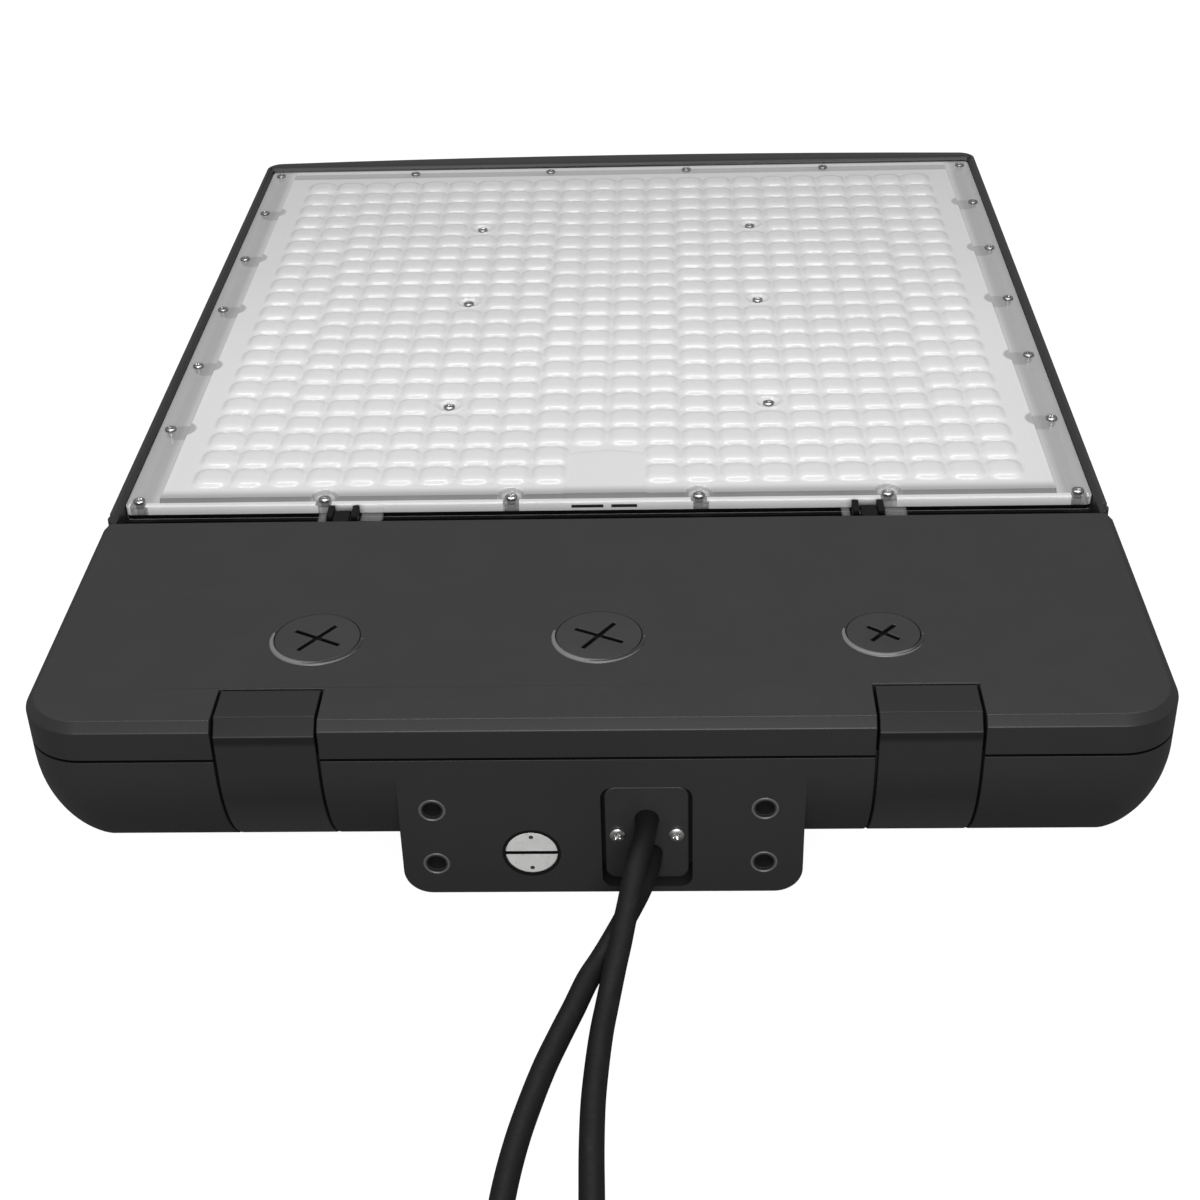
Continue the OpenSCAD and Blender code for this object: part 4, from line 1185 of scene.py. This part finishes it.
    r1 = level(loop, lambda p: (p.x, p.y, 71.7), 4)
    r2 = level(r1, lambda p: (p.x, p.y, 70.3), 4, in_slot)
    r2b = level(r2, lambda p: (p.x, p.y, 69.1), 4)
    # the near side of the skirt's two lowest levels gets painted shade: index 7, the near-black shade material
    r3 = level(r2b, lambda p: (p.x, p.y, 67.35), 8)
    r4 = level(r3, lambda p: (p.x * (X1 - 0.15) / X1, p.y + 0.15 * (1 if p.y < 60 else -1), 67.2), 8)
    sx_, yc_, hy_ = (X1 - 2.0) / X1, (Y0 + Y1) / 2, (Y1 - Y0) / 2
    r5 = level(r4, lambda p: (p.x * sx_, yc_ + (p.y - yc_) * (hy_ - 2.0) / hy_, 67.2), 9)
    r6 = level(r5, lambda p: (p.x * sx_, yc_ + (p.y - yc_) * (hy_ - 2.0) / hy_, 70.6), 9)
    r7 = level(r6, lambda p: (p.x * 179.4 / X1, 63.5 + (p.y - yc_) * 174.9 / hy_, 70.6), 2)
    r8 = level(r7, lambda p: (p.x * 179.4 / X1, 63.5 + (p.y - yc_) * 174.9 / hy_, 72.6), 2)
    # ceiling in strips
    near = r8[:nx]
    right = r8[nx - 1:nx - 1 + ny]
    farr = r8[nx - 1 + ny - 1:nx - 1 + ny - 1 + nx]
    left = (r8 + r8[:1])[nx - 1 + ny - 1 + nx - 1:]
    left = left[::-1]          # from near to far
    faces.append(tuple(near + [right[1], left[1]])[::-1])
    fmat.append(2)
    for jj in range(1, ny - 2):
        faces.append((left[jj], right[jj], right[jj + 1], left[jj + 1])[::-1])
        fmat.append(2)
    faces.append(tuple([left[ny - 2], right[ny - 2]] + farr)[::-1])
    fmat.append(2)
    # recesses of the two slots in the near wall, coloured near-black as painted shade
    for a, b in slots:
        ids = [kk for kk in range(nx) if a - 0.01 <= xs[kk] <= b + 0.01]
        top = [r1[kk] for kk in ids]
        bot = [r2[kk] for kk in ids]
        tb, bb = [], []
        for kk in ids:
            tb.append(len(verts))
            verts.append(Vector((verts[r1[kk]].x, Y0 + 1.5, 71.7)))
            bb.append(len(verts))
            verts.append(Vector((verts[r2[kk]].x, Y0 + 1.5, 70.3)))
        for q in range(len(ids) - 1):
            for f in ((top[q], tb[q], tb[q + 1], top[q + 1]), (bb[q], bot[q], bot[q + 1], bb[q + 1]), (tb[q], bb[q], bb[q + 1], tb[q + 1])):
                faces.append(f)
                fmat.append(3)
        faces.append((top[0], bot[0], bb[0], tb[0]))
        fmat.append(3)
        faces.append((top[-1], tb[-1], bb[-1], bot[-1]))
        fmat.append(3)
    # posts round the rim screws, inside the skirt
    for cx, cy in RIM:
        f0 = len(faces)
        lathe([(1.75, 67.3), (3.2, 67.3), (3.2, 70.65), (1.75, 70.65), (1.75, 67.3)], 20, verts, faces, at(cx, cy, 0))
        fmat += [5] * (len(faces) - f0)
        if cy < -100:
            # dark tube of painted shade round the thread, seen through the near wall
            f0 = len(faces)
            lathe([(1.62, 67.3), (1.62, 72.6)], 16, verts, faces, at(cx, cy, 0))
            fmat += [3] * (len(faces) - f0)
    # tongues beside the hinge of the door
    for hx in (-105, 105):
        for t0, t1 in ((7, 15.5), (-10.2, -7)):
            f0 = len(faces)
            soft_box((hx + t0, -133.6, 68.6), (hx + t1, -118.4, 71.6), 0.5, verts, faces)
            fmat += [5] * (len(faces) - f0)
    # near-black material for painted shade in the near wall's slots and round the near threads
    dark = plastic("slot_painted_shade", (0.02, 0.02, 0.02), 0.6)
    # lens_wall is a nearly opaque pale grey for the light that the clear walls and the near strip catch: painted light
    o = add("lens_cover_moulded", "fixture", [lens_field_material(), lens_flange_material(), clear_material("lens_inner", 0.16), dark,
                clear_material("lens_wall", 0.84), clear_material("lens_window", 0.13, 0.7),
                clear_material("lens_step", 0.92, 0.26), M["shade"]], verts, faces, fmat,
            replaces=("lens_cover",))
    bm = bmesh.new()
    bm.from_mesh(o.data)
    bmesh.ops.recalc_face_normals(bm, faces=bm.faces[:])
    bm.to_mesh(o.data)
    bm.free()
    sharpen(o, 48)


lens_cover()


# ---------------------------------------------------------------- floor, light, colour
def studio():
    m = bpy.data.materials.new("floor_pale")
    m.use_nodes = True
    t = m.node_tree
    t.nodes.clear()
    out = t.nodes.new("ShaderNodeOutputMaterial")
    seen = t.nodes.new("ShaderNodeEmission")
    seen.inputs[0].default_value = (1, 1, 1, 1)
    seen.inputs[1].default_value = 0.95
    lit = t.nodes.new("ShaderNodeBsdfDiffuse")
    lit.inputs[0].default_value = (0.14, 0.14, 0.14, 1)
    add_ = t.nodes.new("ShaderNodeAddShader")
    t.links.new(seen.outputs[0], add_.inputs[0])
    t.links.new(lit.outputs[0], add_.inputs[1])
    plain = t.nodes.new("ShaderNodeBsdfDiffuse")
    plain.inputs[0].default_value = (0.16, 0.16, 0.16, 1)
    lp = t.nodes.new("ShaderNodeLightPath")
    mx = t.nodes.new("ShaderNodeMixShader")
    t.links.new(lp.outputs["Is Camera Ray"], mx.inputs[0])
    t.links.new(plain.outputs[0], mx.inputs[1])
    t.links.new(add_.outputs[0], mx.inputs[2])
    t.links.new(mx.outputs[0], out.inputs[0])
    me = bpy.data.meshes.new("floor")
    me.from_pydata([(-9, -9, -0.0006), (9, -9, -0.0006), (9, 9, -0.0006), (-9, 9, -0.0006)], [], [(0, 1, 2, 3)])
    me.materials.append(m)
    o = bpy.data.objects.new("floor", me)
    bpy.context.scene.collection.objects.link(o)
    w = bpy.data.worlds.new("studio")
    bpy.context.scene.world = w
    w.use_nodes = True
    bg = w.node_tree.nodes.get("Background") or w.node_tree.nodes.new("ShaderNodeBackground")
    bg.inputs[0].default_value = (1, 1, 1, 1)
    bg.inputs[1].default_value = 0.34

    def softbox(name, pos, target, sx, sy, power):
        l = bpy.data.lights.new(name, "AREA")
        l.shape = "RECTANGLE"
        l.size, l.size_y = sx, sy
        l.energy = power
        o = bpy.data.objects.new(name, l)
        o.location = pos
        d = Vector(target) - Vector(pos)
        o.rotation_euler = d.to_track_quat("-Z", "Y").to_euler()
        bpy.context.scene.collection.objects.link(o)

    softbox("overhead", (0.0, 0.33, 1.7), (0, 0.1, 0), 1.45, 0.34, 15.2)
    softbox("front_top", (0.0, -1.15, 1.5), (0, -0.2, 0.05), 1.5, 0.35, 1.6)
    softbox("front", (0.05, -2.0, 0.80), (0, -0.1, 0.03), 1.1, 0.7, 27.0)
    sc = bpy.context.scene
    sc.view_settings.view_transform = "Standard"
    sc.view_settings.look = "None"
    sc.view_settings.exposure = 0.0
    sc.cycles.use_denoising = True
    sc.cycles.max_bounces = 10
    sc.cycles.transparent_max_bounces = 24
    sc.cycles.caustics_reflective = False
    sc.cycles.caustics_refractive = False
    sc.cycles.sample_clamp_indirect = 4.0


studio()

bpy.context.view_layer.update()
